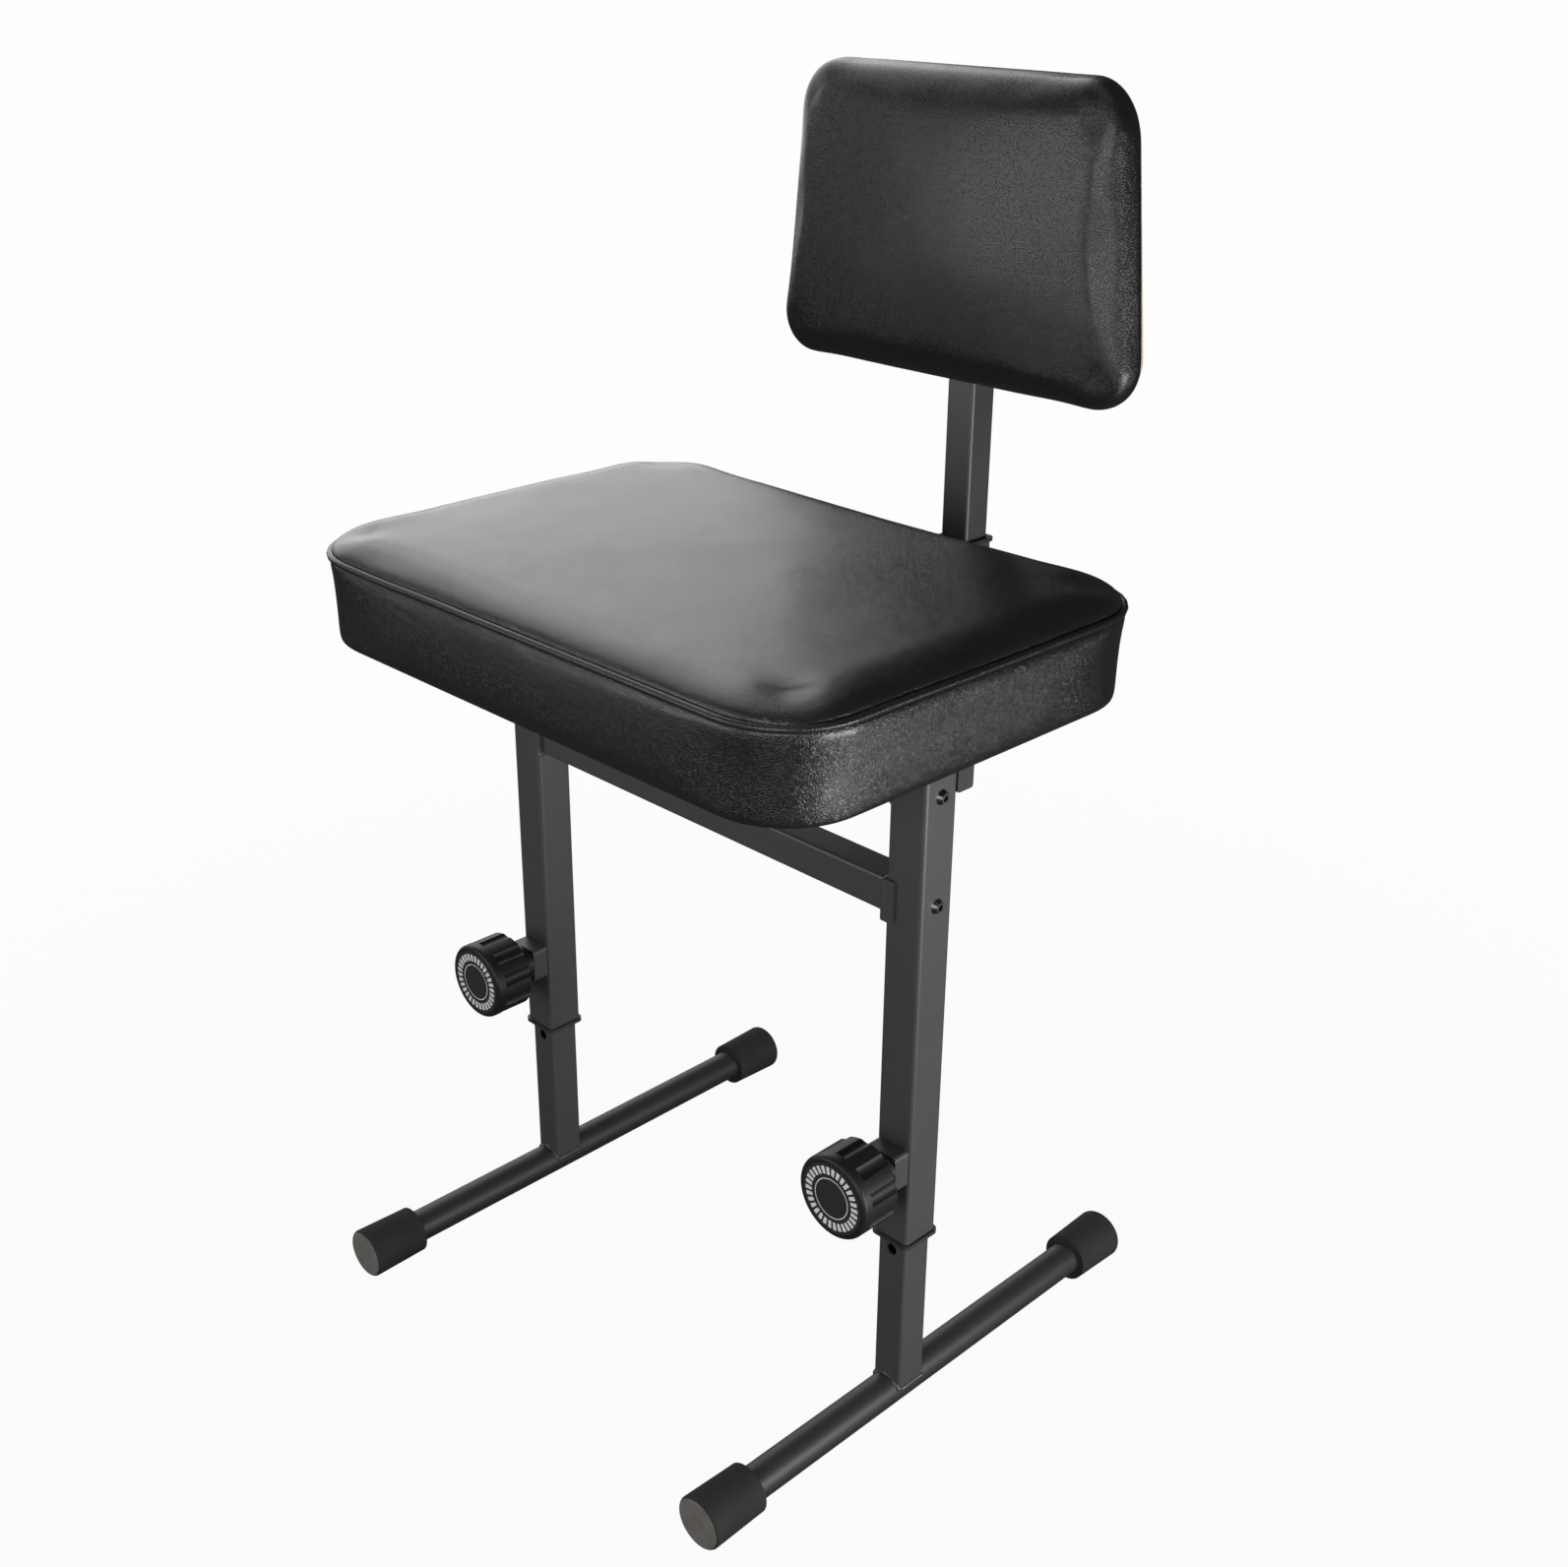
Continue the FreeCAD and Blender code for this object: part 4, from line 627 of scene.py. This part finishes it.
def upright_wall(name, plan, height, cuts_x, cuts_y, rows):
    """A cube made into the open wall of a rounded box, with rows cut around it."""
    bpy.ops.object.select_all(action="DESELECT")
    bpy.ops.mesh.primitive_cube_add(size=1)
    thing = bpy.context.object
    thing.name = name
    begin_edit(thing, "EDGE")
    bpy.ops.mesh.select_all(action="SELECT")
    bpy.ops.transform.resize(value=(2 * plan.half_x, 2 * plan.half_y, height))
    bpy.ops.transform.translate(value=(0, 0, height / 2))
    choose_edges(thing, lambda a, b: abs(a.z - b.z) > height / 2)
    bpy.ops.mesh.bevel(offset=plan.corner, offset_type="OFFSET", segments=ARC_CUTS, affect="EDGES")
    bpy.ops.mesh.select_mode(type="FACE")
    choose_faces(thing, lambda middle, normal: abs(normal.z) > 0.9)
    bpy.ops.mesh.delete(type="ONLY_FACE")
    bpy.ops.mesh.select_mode(type="EDGE")
    choose_edges(thing, lambda a, b: abs(a.x - b.x) > plan.half_x / 2)
    bpy.ops.mesh.subdivide(number_cuts=cuts_x)
    choose_edges(thing, lambda a, b: abs(a.y - b.y) > plan.half_y / 2)
    bpy.ops.mesh.subdivide(number_cuts=cuts_y)
    choose_edges(thing, lambda a, b: abs(a.z - b.z) > height / 2)
    bpy.ops.mesh.subdivide(number_cuts=rows - 1)
    end_edit()
    return thing


def close_end(thing, level, rings):
    """Fills one open end of a wall and insets the fill ring by ring."""
    begin_edit(thing, "EDGE")
    choose_edges(thing, lambda a, b: abs(a.z - level) < TINY and abs(b.z - level) < TINY)
    bpy.ops.mesh.edge_face_add()
    bpy.ops.mesh.select_mode(type="FACE")
    choose_faces(thing, lambda middle, normal: abs(middle.z - level) < TINY)
    for ring in range(rings):
        bpy.ops.mesh.inset(thickness=RING_STEP, depth=0.0)
    end_edit()


def place_profile(thing, plan, height, under, band, top):
    """Puts every ring and row of a flat-ended block at its own depth and height."""
    for vertex in thing.data.vertices:
        point = vertex.co
        ring = round(plan.depth(point) / RING_STEP)
        row = round(point.z / height * (len(band) - 1))
        depth, rise = band[row]
        if row == 0:
            depth, rise = under[min(ring, len(under) - 1)]
        elif row == len(band) - 1:
            depth, rise = top[min(ring, len(top) - 1)]
        plan.put(point, depth)
        point.z = rise


print("blocks have", ARC_CUTS, "cuts in each corner and rings every", RING_STEP * 1000, "mm")

# %% [markdown]
# A ring of edges could be closed with one face of many corners, but the smoothing at the end would
# pull such a face inwards. A grid of even squares keeps its place and lets the cloth swell evenly.

# %% Grid inside the rings


def grid_over(thing, level, span):
    """Swaps the large face that is left inside the rings for an even grid."""
    begin_edit(thing, "FACE")
    mesh = bmesh.from_edit_mesh(thing.data)
    largest = max((f for f in mesh.faces if abs(f.calc_center_median().z - level) < 1e-4),
                  key=lambda f: len(f.verts))
    largest.select_set(True)
    bmesh.update_edit_mesh(thing.data)
    bpy.ops.mesh.delete(type="ONLY_FACE")
    bpy.ops.mesh.select_mode(type="EDGE")
    mesh = bmesh.from_edit_mesh(thing.data)
    rim = [edge for edge in mesh.edges if edge.is_boundary]
    for edge in rim:
        edge.select_set(True)
    start = max((v for edge in rim for v in edge.verts), key=lambda v: v.co.x + v.co.y * 1.0001)
    bpy.ops.mesh.select_mode(type="VERT")
    mesh = bmesh.from_edit_mesh(thing.data)
    mesh.select_history.clear()
    mesh.select_history.add(start)
    bmesh.update_edit_mesh(thing.data)
    bpy.ops.mesh.fill_grid(span=span, offset=0)
    end_edit()


print("an end is closed with a grid")

# %% [markdown]
# The cover is blown up as cloth with a little pressure inside, while its seam and hem are pinned.
# Cloth alone goes too far, because foam holds a real cover, so each point's step is held to a short
# reach and then shared with its neighbours, as a stiff cover does.

# %% Cover blown up over foam
PRESSURE = 4.0
REACH = 0.0030
COVER_MOMENTS = 20
SHARING_ROUNDS = 5
COVER_CLOTH = {"quality": 3, "mass": 0.3, "tension_stiffness": 25, "compression_stiffness": 12,
               "shear_stiffness": 8, "bending_stiffness": 1.5, "use_pressure": True,
               "uniform_pressure_force": PRESSURE}


def even_out(steps, thing, free):
    """Shares each free point's step with its neighbours."""
    near = [[] for step in steps]
    for edge in thing.data.edges:
        first, second = edge.vertices
        near[first].append(second)
        near[second].append(first)
    for _ in range(SHARING_ROUNDS):
        steps = [0.4 * step + 0.6 * sum((steps[k] for k in near[i]), Vector()) / len(near[i])
                 if free[i] else step for i, step in enumerate(steps)]
    return steps


def inflate(thing, is_sewn):
    """Blows a block up under its cover; sewn points stay and no point moves beyond the reach."""
    group = thing.vertex_groups.new(name="sewn")
    group.add([v.index for v in thing.data.vertices if is_sewn(v.co)], 1.0, "REPLACE")
    before = [v.co.copy() for v in thing.data.vertices]
    free = [not is_sewn(point) for point in before]
    only(thing)
    cloth = thing.modifiers.new("cover", "CLOTH")
    for key, value in COVER_CLOTH.items():
        setattr(cloth.settings, key, value)
    cloth.settings.vertex_group_mass = group.name
    cloth.settings.effector_weights.gravity = 0.0
    cloth.point_cache.frame_start = 1
    cloth.point_cache.frame_end = COVER_MOMENTS
    for moment in range(1, COVER_MOMENTS + 1):
        bpy.context.scene.frame_set(moment)
    bpy.ops.object.modifier_apply(modifier=cloth.name)
    bpy.context.scene.frame_set(1)
    steps = [vertex.co - start for vertex, start in zip(thing.data.vertices, before)]
    largest = max(step.length for step in steps)
    steps = even_out([step * REACH / max(REACH, step.length) for step in steps], thing, free)
    for vertex, start, step in zip(thing.data.vertices, before, steps):
        vertex.co = start + step
    thing.vertex_groups.clear()
    return largest


def ease(value, low, high):
    """A smooth step from 0 at the low value to 1 at the high value."""
    t = max(0.0, min(1.0, (value - low) / (high - low)))
    return t * t * (3 - 2 * t)


print("covers are blown up in", COVER_MOMENTS, "moments, by", REACH * 1000, "mm at most")

# %% [markdown]
# ## Seat cushion
#
# The seat is a boxed cushion: a top panel, a side band and a cord of piping in the seam between
# them. The seam lies in a narrow groove, the band draws in a little towards the board, and the top
# is pillowed. The rows below follow that profile in metres, each as a depth inside the outline and
# a height. The seam's rows are pinned while the cloth is blown up, so that the panels swell between
# them as they do over foam.

# %% Seat block
SEAT = Plan(0.240, 0.171, 0.058)
SEAT_PLACE = Vector((0.0, -0.06735, 0.5185))
SEAM = 0.0617
SEAT_UNDER = [(0.0078, -0.0008), (0.0120, -0.0004), (0.0170, 0.0000), (0.0220, 0.0000), (0.0222, 0.0014)]
SEAT_BAND = [(0.0078, -0.0008), (0.0052, -0.0004), (0.0035, 0.0010), (0.0028, 0.0032), (0.0025, 0.0070),
             (0.0024, 0.0130), (0.0023, 0.0200), (0.0021, 0.0275), (0.0018, 0.0350), (0.0014, 0.0420),
             (0.0009, 0.0480), (0.0003, 0.0530), (0.0002, 0.0565), (0.0006, 0.0588), (0.0018, 0.0603),
             (0.0044, 0.0617)]
SEAT_TOP = [(0.0044, 0.0617), (0.0028, 0.0624), (0.0012, 0.0635), (0.0006, 0.0651), (0.0010, 0.0668),
            (0.0024, 0.0685), (0.0050, 0.0700), (0.0088, 0.0712), (0.0138, 0.0722), (0.0200, 0.0730),
            (0.0275, 0.0736)]
SEAT_CUTS = (30, 18)
SEAT_SPAN = 39

seat = upright_wall("seat_cushion", SEAT, SEAM, *SEAT_CUTS, len(SEAT_BAND) - 1)
begin_edit(seat, "EDGE")
choose_edges(seat, lambda a, b: a.z > SEAM - TINY and b.z > SEAM - TINY)
bpy.ops.mesh.duplicate()
bpy.ops.mesh.separate(type="SELECTED")
end_edit()
piping = next(o for o in bpy.context.selected_objects if o is not seat)
piping.name = "seat_piping_cord"
close_end(seat, SEAM, len(SEAT_TOP) - 1)
close_end(seat, 0.0, len(SEAT_UNDER) - 1)
place_profile(seat, SEAT, SEAM, SEAT_UNDER, SEAT_BAND, SEAT_TOP)
grid_over(seat, SEAT_TOP[-1][1], SEAT_SPAN)
grid_over(seat, SEAT_UNDER[-1][1], SEAT_SPAN)
print("seat block:", len(seat.data.polygons), "faces, seam of", len(piping.data.vertices), "points")

# %% Seat swelling
CROWN = 0.0012
inner_x, inner_y = SEAT.half_x - SEAT_TOP[-1][0], SEAT.half_y - SEAT_TOP[-1][0]
for vertex in seat.data.vertices:
    point = vertex.co
    if point.z > SEAT_TOP[-1][1] - TINY:
        rise = (1 - (point.x / inner_x) ** 2) * (1 - (point.y / inner_y) ** 2)
        point.z += CROWN * max(0.0, rise)


def seat_sewn(point):
    return point.z < 0.0030 or abs(point.z - SEAM) < 0.0008


swelling = inflate(seat, seat_sewn)
print("seat swells", round(1000 * swelling, 2), "mm before its cover holds it")

# %% [markdown]
# A cushion that was sewn by hand and sat on is never quite even. The seam strays by half a
# millimetre, the band and the top pucker beside it, most of all in the corners, where the vinyl is
# eased around the curve, and the top sags a little at its rear.

# %% Seat puckers and sag
SAG = 0.0034


def seam_wander(point):
    """How a hand-guided seam strays, in metres, along the outline and in height."""
    place = Vector((point.x, point.y, 0.0))
    return 0.0006 * noise.noise(place * 14.0), 0.0008 * noise.noise(place * 11.0 + Vector((7, 3, 1)))


def seat_wrinkle(point):
    """Puckers of the band and the top panel beside the seam, strongest in the corners."""
    away = SEAT.outward(point)
    angle = math.atan2(away.y, away.x)
    turn = SEAT.in_corner(point)
    run = point.x * 46.0 + point.y * 61.0 + angle * 6.0
    below = ease(SEAM - point.z, 0.0010, 0.0060) * ease(point.z, SEAM - 0.034, SEAM - 0.010)
    above = ease(point.z - SEAM, 0.0015, 0.0060) * ease(SEAT.depth(point), 0.050, 0.006)
    waves = math.sin(run * 3.1 + 2.2 * noise.noise(point * 22.0))
    share = (0.25 + 0.75 * turn) * (below + 0.7 * above)
    return 0.00075 * share * waves * (0.6 + 0.8 * noise.noise(point * 17.0 + Vector((3, 9, 4))))


for vertex in seat.data.vertices:
    point = vertex.co
    pucker = seat_wrinkle(point)
    out, lift = seam_wander(point)
    near = math.exp(-((point.z - SEAM) / 0.012) ** 2)
    depth = SEAT.depth(point)
    if depth < SEAT.corner - 0.004:
        SEAT.put(point, depth - pucker - out * near)
    if point.z > 0.004:
        point.z += lift * near
    if point.z > SEAM:
        top_share = ease(point.z, SEAM + 0.003, SEAM + 0.011)
        rear = ease(point.y, 0.085, 0.165) * math.exp(-(point.x / 0.125) ** 2)
        middle = (1 - (point.x / SEAT.half_x) ** 2) * (1 - (point.y / SEAT.half_y) ** 2)
        uneven = 0.0007 * noise.noise(point * 9.0) + 0.00025 * noise.noise(point * 31.0)
        point.z += top_share * (uneven * ease(middle, 0.0, 0.3) - SAG * rear)
print("seat top sags", SAG * 1000, "mm at its rear")

# %% Seat cushion set on its board
apply_modifier(seat, "SUBSURF", levels=2, render_levels=2)
set_in_place(seat, SEAT_PLACE)
smooth(seat, 50)
seat.data.materials.append(seat_vinyl.material)
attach(seat, "frame")
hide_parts("seat_cover", "seat_foam")
print("seat cushion:", len(seat.data.polygons), "faces")

# %% [markdown]
# ## Piping
#
# Piping is a thin cord in a strip of vinyl, sewn into the seam. It follows the seam's own points, so
# the block's seam was copied before the panels were swelled, and is now given a round section.

# %% Piping
PIPING_RADIUS = 0.0025
PIPING_DEPTH = 0.0012
for vertex in piping.data.vertices:
    point = vertex.co
    out, lift = seam_wander(point)
    SEAT.put(point, PIPING_DEPTH - out)
    point.z += lift
piping = round_cord(piping, PIPING_RADIUS)
set_in_place(piping, SEAT_PLACE)
smooth(piping, 60)
piping.data.materials.clear()
piping.data.materials.append(piping_vinyl.material)
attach(piping, "frame")
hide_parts("seat_piping")
print("piping:", len(piping.data.polygons), "faces")

# %% [markdown]
# ## Back cushion
#
# The back cushion is made lying on its back, as it is upholstered on a bench: a slab of foam on a
# board, with vinyl stretched over its domed face and turned in behind. It is wider below than above,
# so the block is tapered once its rings are in place, and is then stood up.

# %% Back block
BACK = Plan(0.1665, 0.1085, 0.038)
BACK_PLACE = Vector((0.0, 0.1774, 0.7825))
BACK_WALL = 0.0200
BACK_TAPER = 0.144
BACK_DOME = 0.0125
BACK_UNDER = [(0.0085, 0.0000), (0.0125, 0.0000), (0.0165, 0.0000), (0.0200, 0.0000), (0.0202, 0.0014)]
BACK_BAND = [(0.0085, 0.0000), (0.0052, 0.0010), (0.0030, 0.0030), (0.0018, 0.0056), (0.0012, 0.0086),
             (0.0010, 0.0118), (0.0010, 0.0146), (0.0013, 0.0172), (0.0022, 0.0200)]
BACK_FACE = [(0.0022, 0.0200), (0.0036, 0.0218), (0.0056, 0.0234), (0.0084, 0.0247), (0.0120, 0.0257),
             (0.0160, 0.0264), (0.0205, 0.0269)]
BACK_CUTS = (24, 13)
BACK_SPAN = 33

back = upright_wall("back_cushion", BACK, BACK_WALL, *BACK_CUTS, len(BACK_BAND) - 1)
close_end(back, BACK_WALL, len(BACK_FACE) - 1)
close_end(back, 0.0, len(BACK_UNDER) - 1)
place_profile(back, BACK, BACK_WALL, BACK_UNDER, BACK_BAND, BACK_FACE)
grid_over(back, BACK_FACE[-1][1], BACK_SPAN)
grid_over(back, BACK_UNDER[-1][1], BACK_SPAN)
print("back block:", len(back.data.polygons), "faces")

# %% Back dome, swelling and taper
DOME_POWER = 2.2
BACK_HEM_TOP = 0.0035


def share_of_dome(distance, half):
    """How much of the dome is left at a distance from the middle."""
    return max(0.0, 1 - abs(distance / half) ** DOME_POWER)


def narrow(thing):
    """Makes a lying cushion's part narrower towards its upper edge."""
    for vertex in thing.data.vertices:
        vertex.co.x *= 1 - BACK_TAPER * (vertex.co.y + BACK.half_y) / (2 * BACK.half_y)


for vertex in back.data.vertices:
    point = vertex.co
    rise = share_of_dome(point.x, BACK.half_x) * share_of_dome(point.y, BACK.half_y)
    point.z += BACK_DOME * rise * ease(point.z, 0.012, 0.0262)
swelling = inflate(back, lambda point: point.z < BACK_HEM_TOP)
print("back swells", round(1000 * swelling, 2), "mm before its cover holds it")
for vertex in back.data.vertices:
    point = vertex.co
    share = ease(point.z, 0.003, 0.024)
    point.z += share * (0.0006 * noise.noise(point * 13.0) + 0.0002 * noise.noise(point * 37.0))
narrow(back)
apply_modifier(back, "SUBSURF", levels=2, render_levels=2)
set_in_place(back, BACK_PLACE, stood_up=True)
smooth(back, 50)
back.data.materials.append(back_vinyl.material)
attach(back, "backrest")
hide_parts("back_cover", "back_foam")
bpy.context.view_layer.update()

# %% [markdown]
# ## Staples and weld beads
#
# The covers are held by rows of staples in their hems. One staple is made from a cube: its crown is
# bevelled and its two legs are extruded into the board. The others are copies along the hem. Where
# each lower leg stands on its round floor tube there is a weld: a bead that follows the saddle and
# rises and falls a little, as it was laid drop by drop.

# %% Staples
STAPLE_SIZE = (0.0105, 0.0012, 0.0007)
STAPLE_LEG = 0.0020
STAPLE_SPACING = 0.030
STAPLE_LEVEL = -0.0004


def one_staple(name):
    bpy.ops.object.select_all(action="DESELECT")
    bpy.ops.mesh.primitive_cube_add(size=1)
    staple = bpy.context.object
    staple.name = name
    begin_edit(staple, "EDGE")
    bpy.ops.mesh.select_all(action="SELECT")
    bpy.ops.transform.resize(value=STAPLE_SIZE)
    choose_edges(staple, lambda a, b: abs(a.x - b.x) > 0.005)
    bpy.ops.mesh.subdivide(number_cuts=5)
    bpy.ops.mesh.select_mode(type="FACE")
    choose_faces(staple, lambda middle, normal: normal.z > 0.9 and abs(middle.x) > 0.0040)
    bpy.ops.mesh.extrude_region_move(TRANSFORM_OT_translate={"value": (0, 0, STAPLE_LEG)})
    bpy.ops.mesh.select_mode(type="EDGE")
    choose_edges(staple, lambda a, b: a.z < -0.0003 and b.z < -0.0003 and abs(a.y - b.y) < 1e-6)
    bpy.ops.mesh.bevel(offset=0.0002, segments=2, affect="EDGES")
    end_edit()
    return staple


print("a staple is", STAPLE_SIZE[0] * 1000, "mm wide")

# %% Rows of staples
HEM_STEPS = 720


def hem_places(plan, depth):
    """Places along a hem with the direction of its edge, evenly spaced."""
    path = []
    for step in range(HEM_STEPS):
        turn = math.tau * step / HEM_STEPS
        ray = Vector((math.cos(turn) * 10, math.sin(turn) * 10, 0))
        away = plan.outward(ray)
        path.append(plan.core(ray) + away.normalized() * (plan.corner - depth))
    walked, places = 0.0, []
    for here, after in zip(path, path[1:] + path[:1]):
        length = (after - here).length
        while length > 0 and walked < length:
            spot = here + (after - here) * (walked / length)
            places.append((spot, math.atan2((after - here).y, (after - here).x)))
            walked += STAPLE_SPACING
        walked -= length
    return places


def staple_row(name, plan, depth):
    """A row of staples in a hem that faces down, joined into one piece."""
    first = one_staple(name)
    copies = []
    for number, (spot, angle) in enumerate(hem_places(plan, depth)):
        lean = angle + 0.25 * noise.noise(Vector((spot.x * 40, spot.y * 40, 2)))
        copy = first.copy()
        copy.data = first.data.copy()
        copy.name = "%s_%02d" % (name, number)
        place = Matrix.Translation((spot.x, spot.y, STAPLE_LEVEL))
        copy.data.transform(place @ Matrix.Rotation(lean, 4, "Z"))
        bpy.context.collection.objects.link(copy)
        copies.append(copy)
    bpy.data.objects.remove(first)
    bpy.ops.object.select_all(action="DESELECT")
    for copy in copies:
        copy.select_set(True)
    bpy.context.view_layer.objects.active = copies[0]
    bpy.ops.object.join()
    row = bpy.context.object
    row.name = name
    return row


seat_staples = staple_row("seat_staples", SEAT, 0.0165)
set_in_place(seat_staples, SEAT_PLACE)
back_staples = staple_row("back_staples", BACK, 0.0155)
narrow(back_staples)
set_in_place(back_staples, BACK_PLACE, stood_up=True)
for row, body in ((seat_staples, "frame"), (back_staples, "backrest")):
    row.data.materials.append(zinc.material)
    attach(row, body)
    print(row.name, len(row.data.polygons), "faces")

# %% Weld beads
FOOT_AXIS = 0.019
FOOT_RADIUS = 0.0125
LEG_HALF = 0.0125
LEG_ROUND = 0.0025
LEG_PLACE_Y = -0.07035
BEAD_RADIUS = 0.0016
BEAD_LOW = 0.0052
DROPS = 17


def weld_bead(name, middle_x, body):
    """A bead around the foot of a square leg on a round tube that runs front to back."""
    bpy.ops.object.select_all(action="DESELECT")
    bpy.ops.mesh.primitive_circle_add(vertices=160, radius=1.0)
    bead = bpy.context.object
    bead.name = name
    leg = Plan(LEG_HALF, LEG_HALF, LEG_ROUND)
    for vertex in bead.data.vertices:
        ray = vertex.co * 10
        away = leg.outward(ray)
        spot = leg.core(ray) + away.normalized() * (LEG_ROUND - 0.0002)
        across = min(abs(spot.x), FOOT_RADIUS - 0.0012)
        drop = math.sqrt(FOOT_RADIUS ** 2 - across ** 2)
        vertex.co = (middle_x + spot.x, LEG_PLACE_Y + spot.y, FOOT_AXIS + max(drop, BEAD_LOW))
    bead = round_cord(bead, BEAD_RADIUS)
    for vertex in bead.data.vertices:
        point = vertex.co
        turn = math.atan2(point.y - LEG_PLACE_Y, point.x - middle_x)
        vertex.co += 0.00035 * abs(math.sin(turn * DROPS)) * vertex.normal
        vertex.co += 0.00025 * noise.noise(point * 260.0) * vertex.normal
    begin_edit(bead)
    bpy.ops.mesh.select_all(action="SELECT")
    bpy.ops.mesh.normals_make_consistent(inside=False)
    end_edit()
    smooth(bead, 60)
    bead.data.materials.clear()
    bead.data.materials.append(powder_coat.material)
    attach(bead, body)
    return bead


for side, middle_x in (("left", -LEG_SIDE), ("right", LEG_SIDE)):
    bead = weld_bead(side + "_foot_weld", middle_x, side + "_foot")
    print(bead.name, len(bead.data.polygons), "faces")

# %% [markdown]
# ## Floor
#
# The floor is a wide disc of white paper. Near the bench it takes a little of its soft shadow, and
# further out it melts into the white behind it. Its glow is for the camera alone; to the bench it is
# dull grey card, so that it doesn't brighten the undersides.

# %% Floor
FLOOR_REACH = 9.0
SHADOW_REACH = 0.35
WHITE_REACH = 1.3
NEAR_GLOW = 0.975
CARD_GREY = (0.10, 0.10, 0.10, 1.0)
bpy.ops.object.select_all(action="DESELECT")
bpy.ops.mesh.primitive_circle_add(vertices=96, radius=FLOOR_REACH, fill_type="NGON", location=(0, 0, 0))
floor = bpy.context.object
floor.name = "studio_floor"
paper = bpy.data.materials.new("white_paper")
paper.use_nodes = True
paper_nodes, paper_links = paper.node_tree.nodes, paper.node_tree.links
paper_nodes.clear()
paper_out = paper_nodes.new("ShaderNodeOutputMaterial")
paper_path = paper_nodes.new("ShaderNodeLightPath")
paper_colour = paper_nodes.new("ShaderNodeBsdfDiffuse")
paper_colour.inputs["Color"].default_value = CARD_GREY
paper_glow = paper_nodes.new("ShaderNodeEmission")
paper_glow.inputs["Color"].default_value = WHITE
paper_glow.inputs["Strength"].default_value = BACKGROUND_WHITE
paper_place = paper_nodes.new("ShaderNodeTexCoord")
paper_reach = paper_nodes.new("ShaderNodeVectorMath")
paper_reach.operation = "LENGTH"
paper_fade = paper_nodes.new("ShaderNodeMapRange")
paper_fade.inputs["From Min"].default_value = SHADOW_REACH
paper_fade.inputs["From Max"].default_value = WHITE_REACH
paper_fade.inputs["To Min"].default_value = NEAR_GLOW
paper_factor = paper_nodes.new("ShaderNodeMath")
paper_factor.operation = "MULTIPLY"
paper_mix = paper_nodes.new("ShaderNodeMixShader")
paper_links.new(paper_place.outputs["Object"], paper_reach.inputs[0])
paper_links.new(paper_reach.outputs["Value"], paper_fade.inputs["Value"])
paper_links.new(paper_fade.outputs["Result"], paper_factor.inputs[0])
paper_links.new(paper_path.outputs["Is Camera Ray"], paper_factor.inputs[1])
paper_links.new(paper_factor.outputs[0], paper_mix.inputs[0])
paper_links.new(paper_colour.outputs[0], paper_mix.inputs[1])
paper_links.new(paper_glow.outputs[0], paper_mix.inputs[2])
paper_links.new(paper_mix.outputs[0], paper_out.inputs["Surface"])
floor.data.materials.append(paper)
print("floor reaches", FLOOR_REACH, "m")
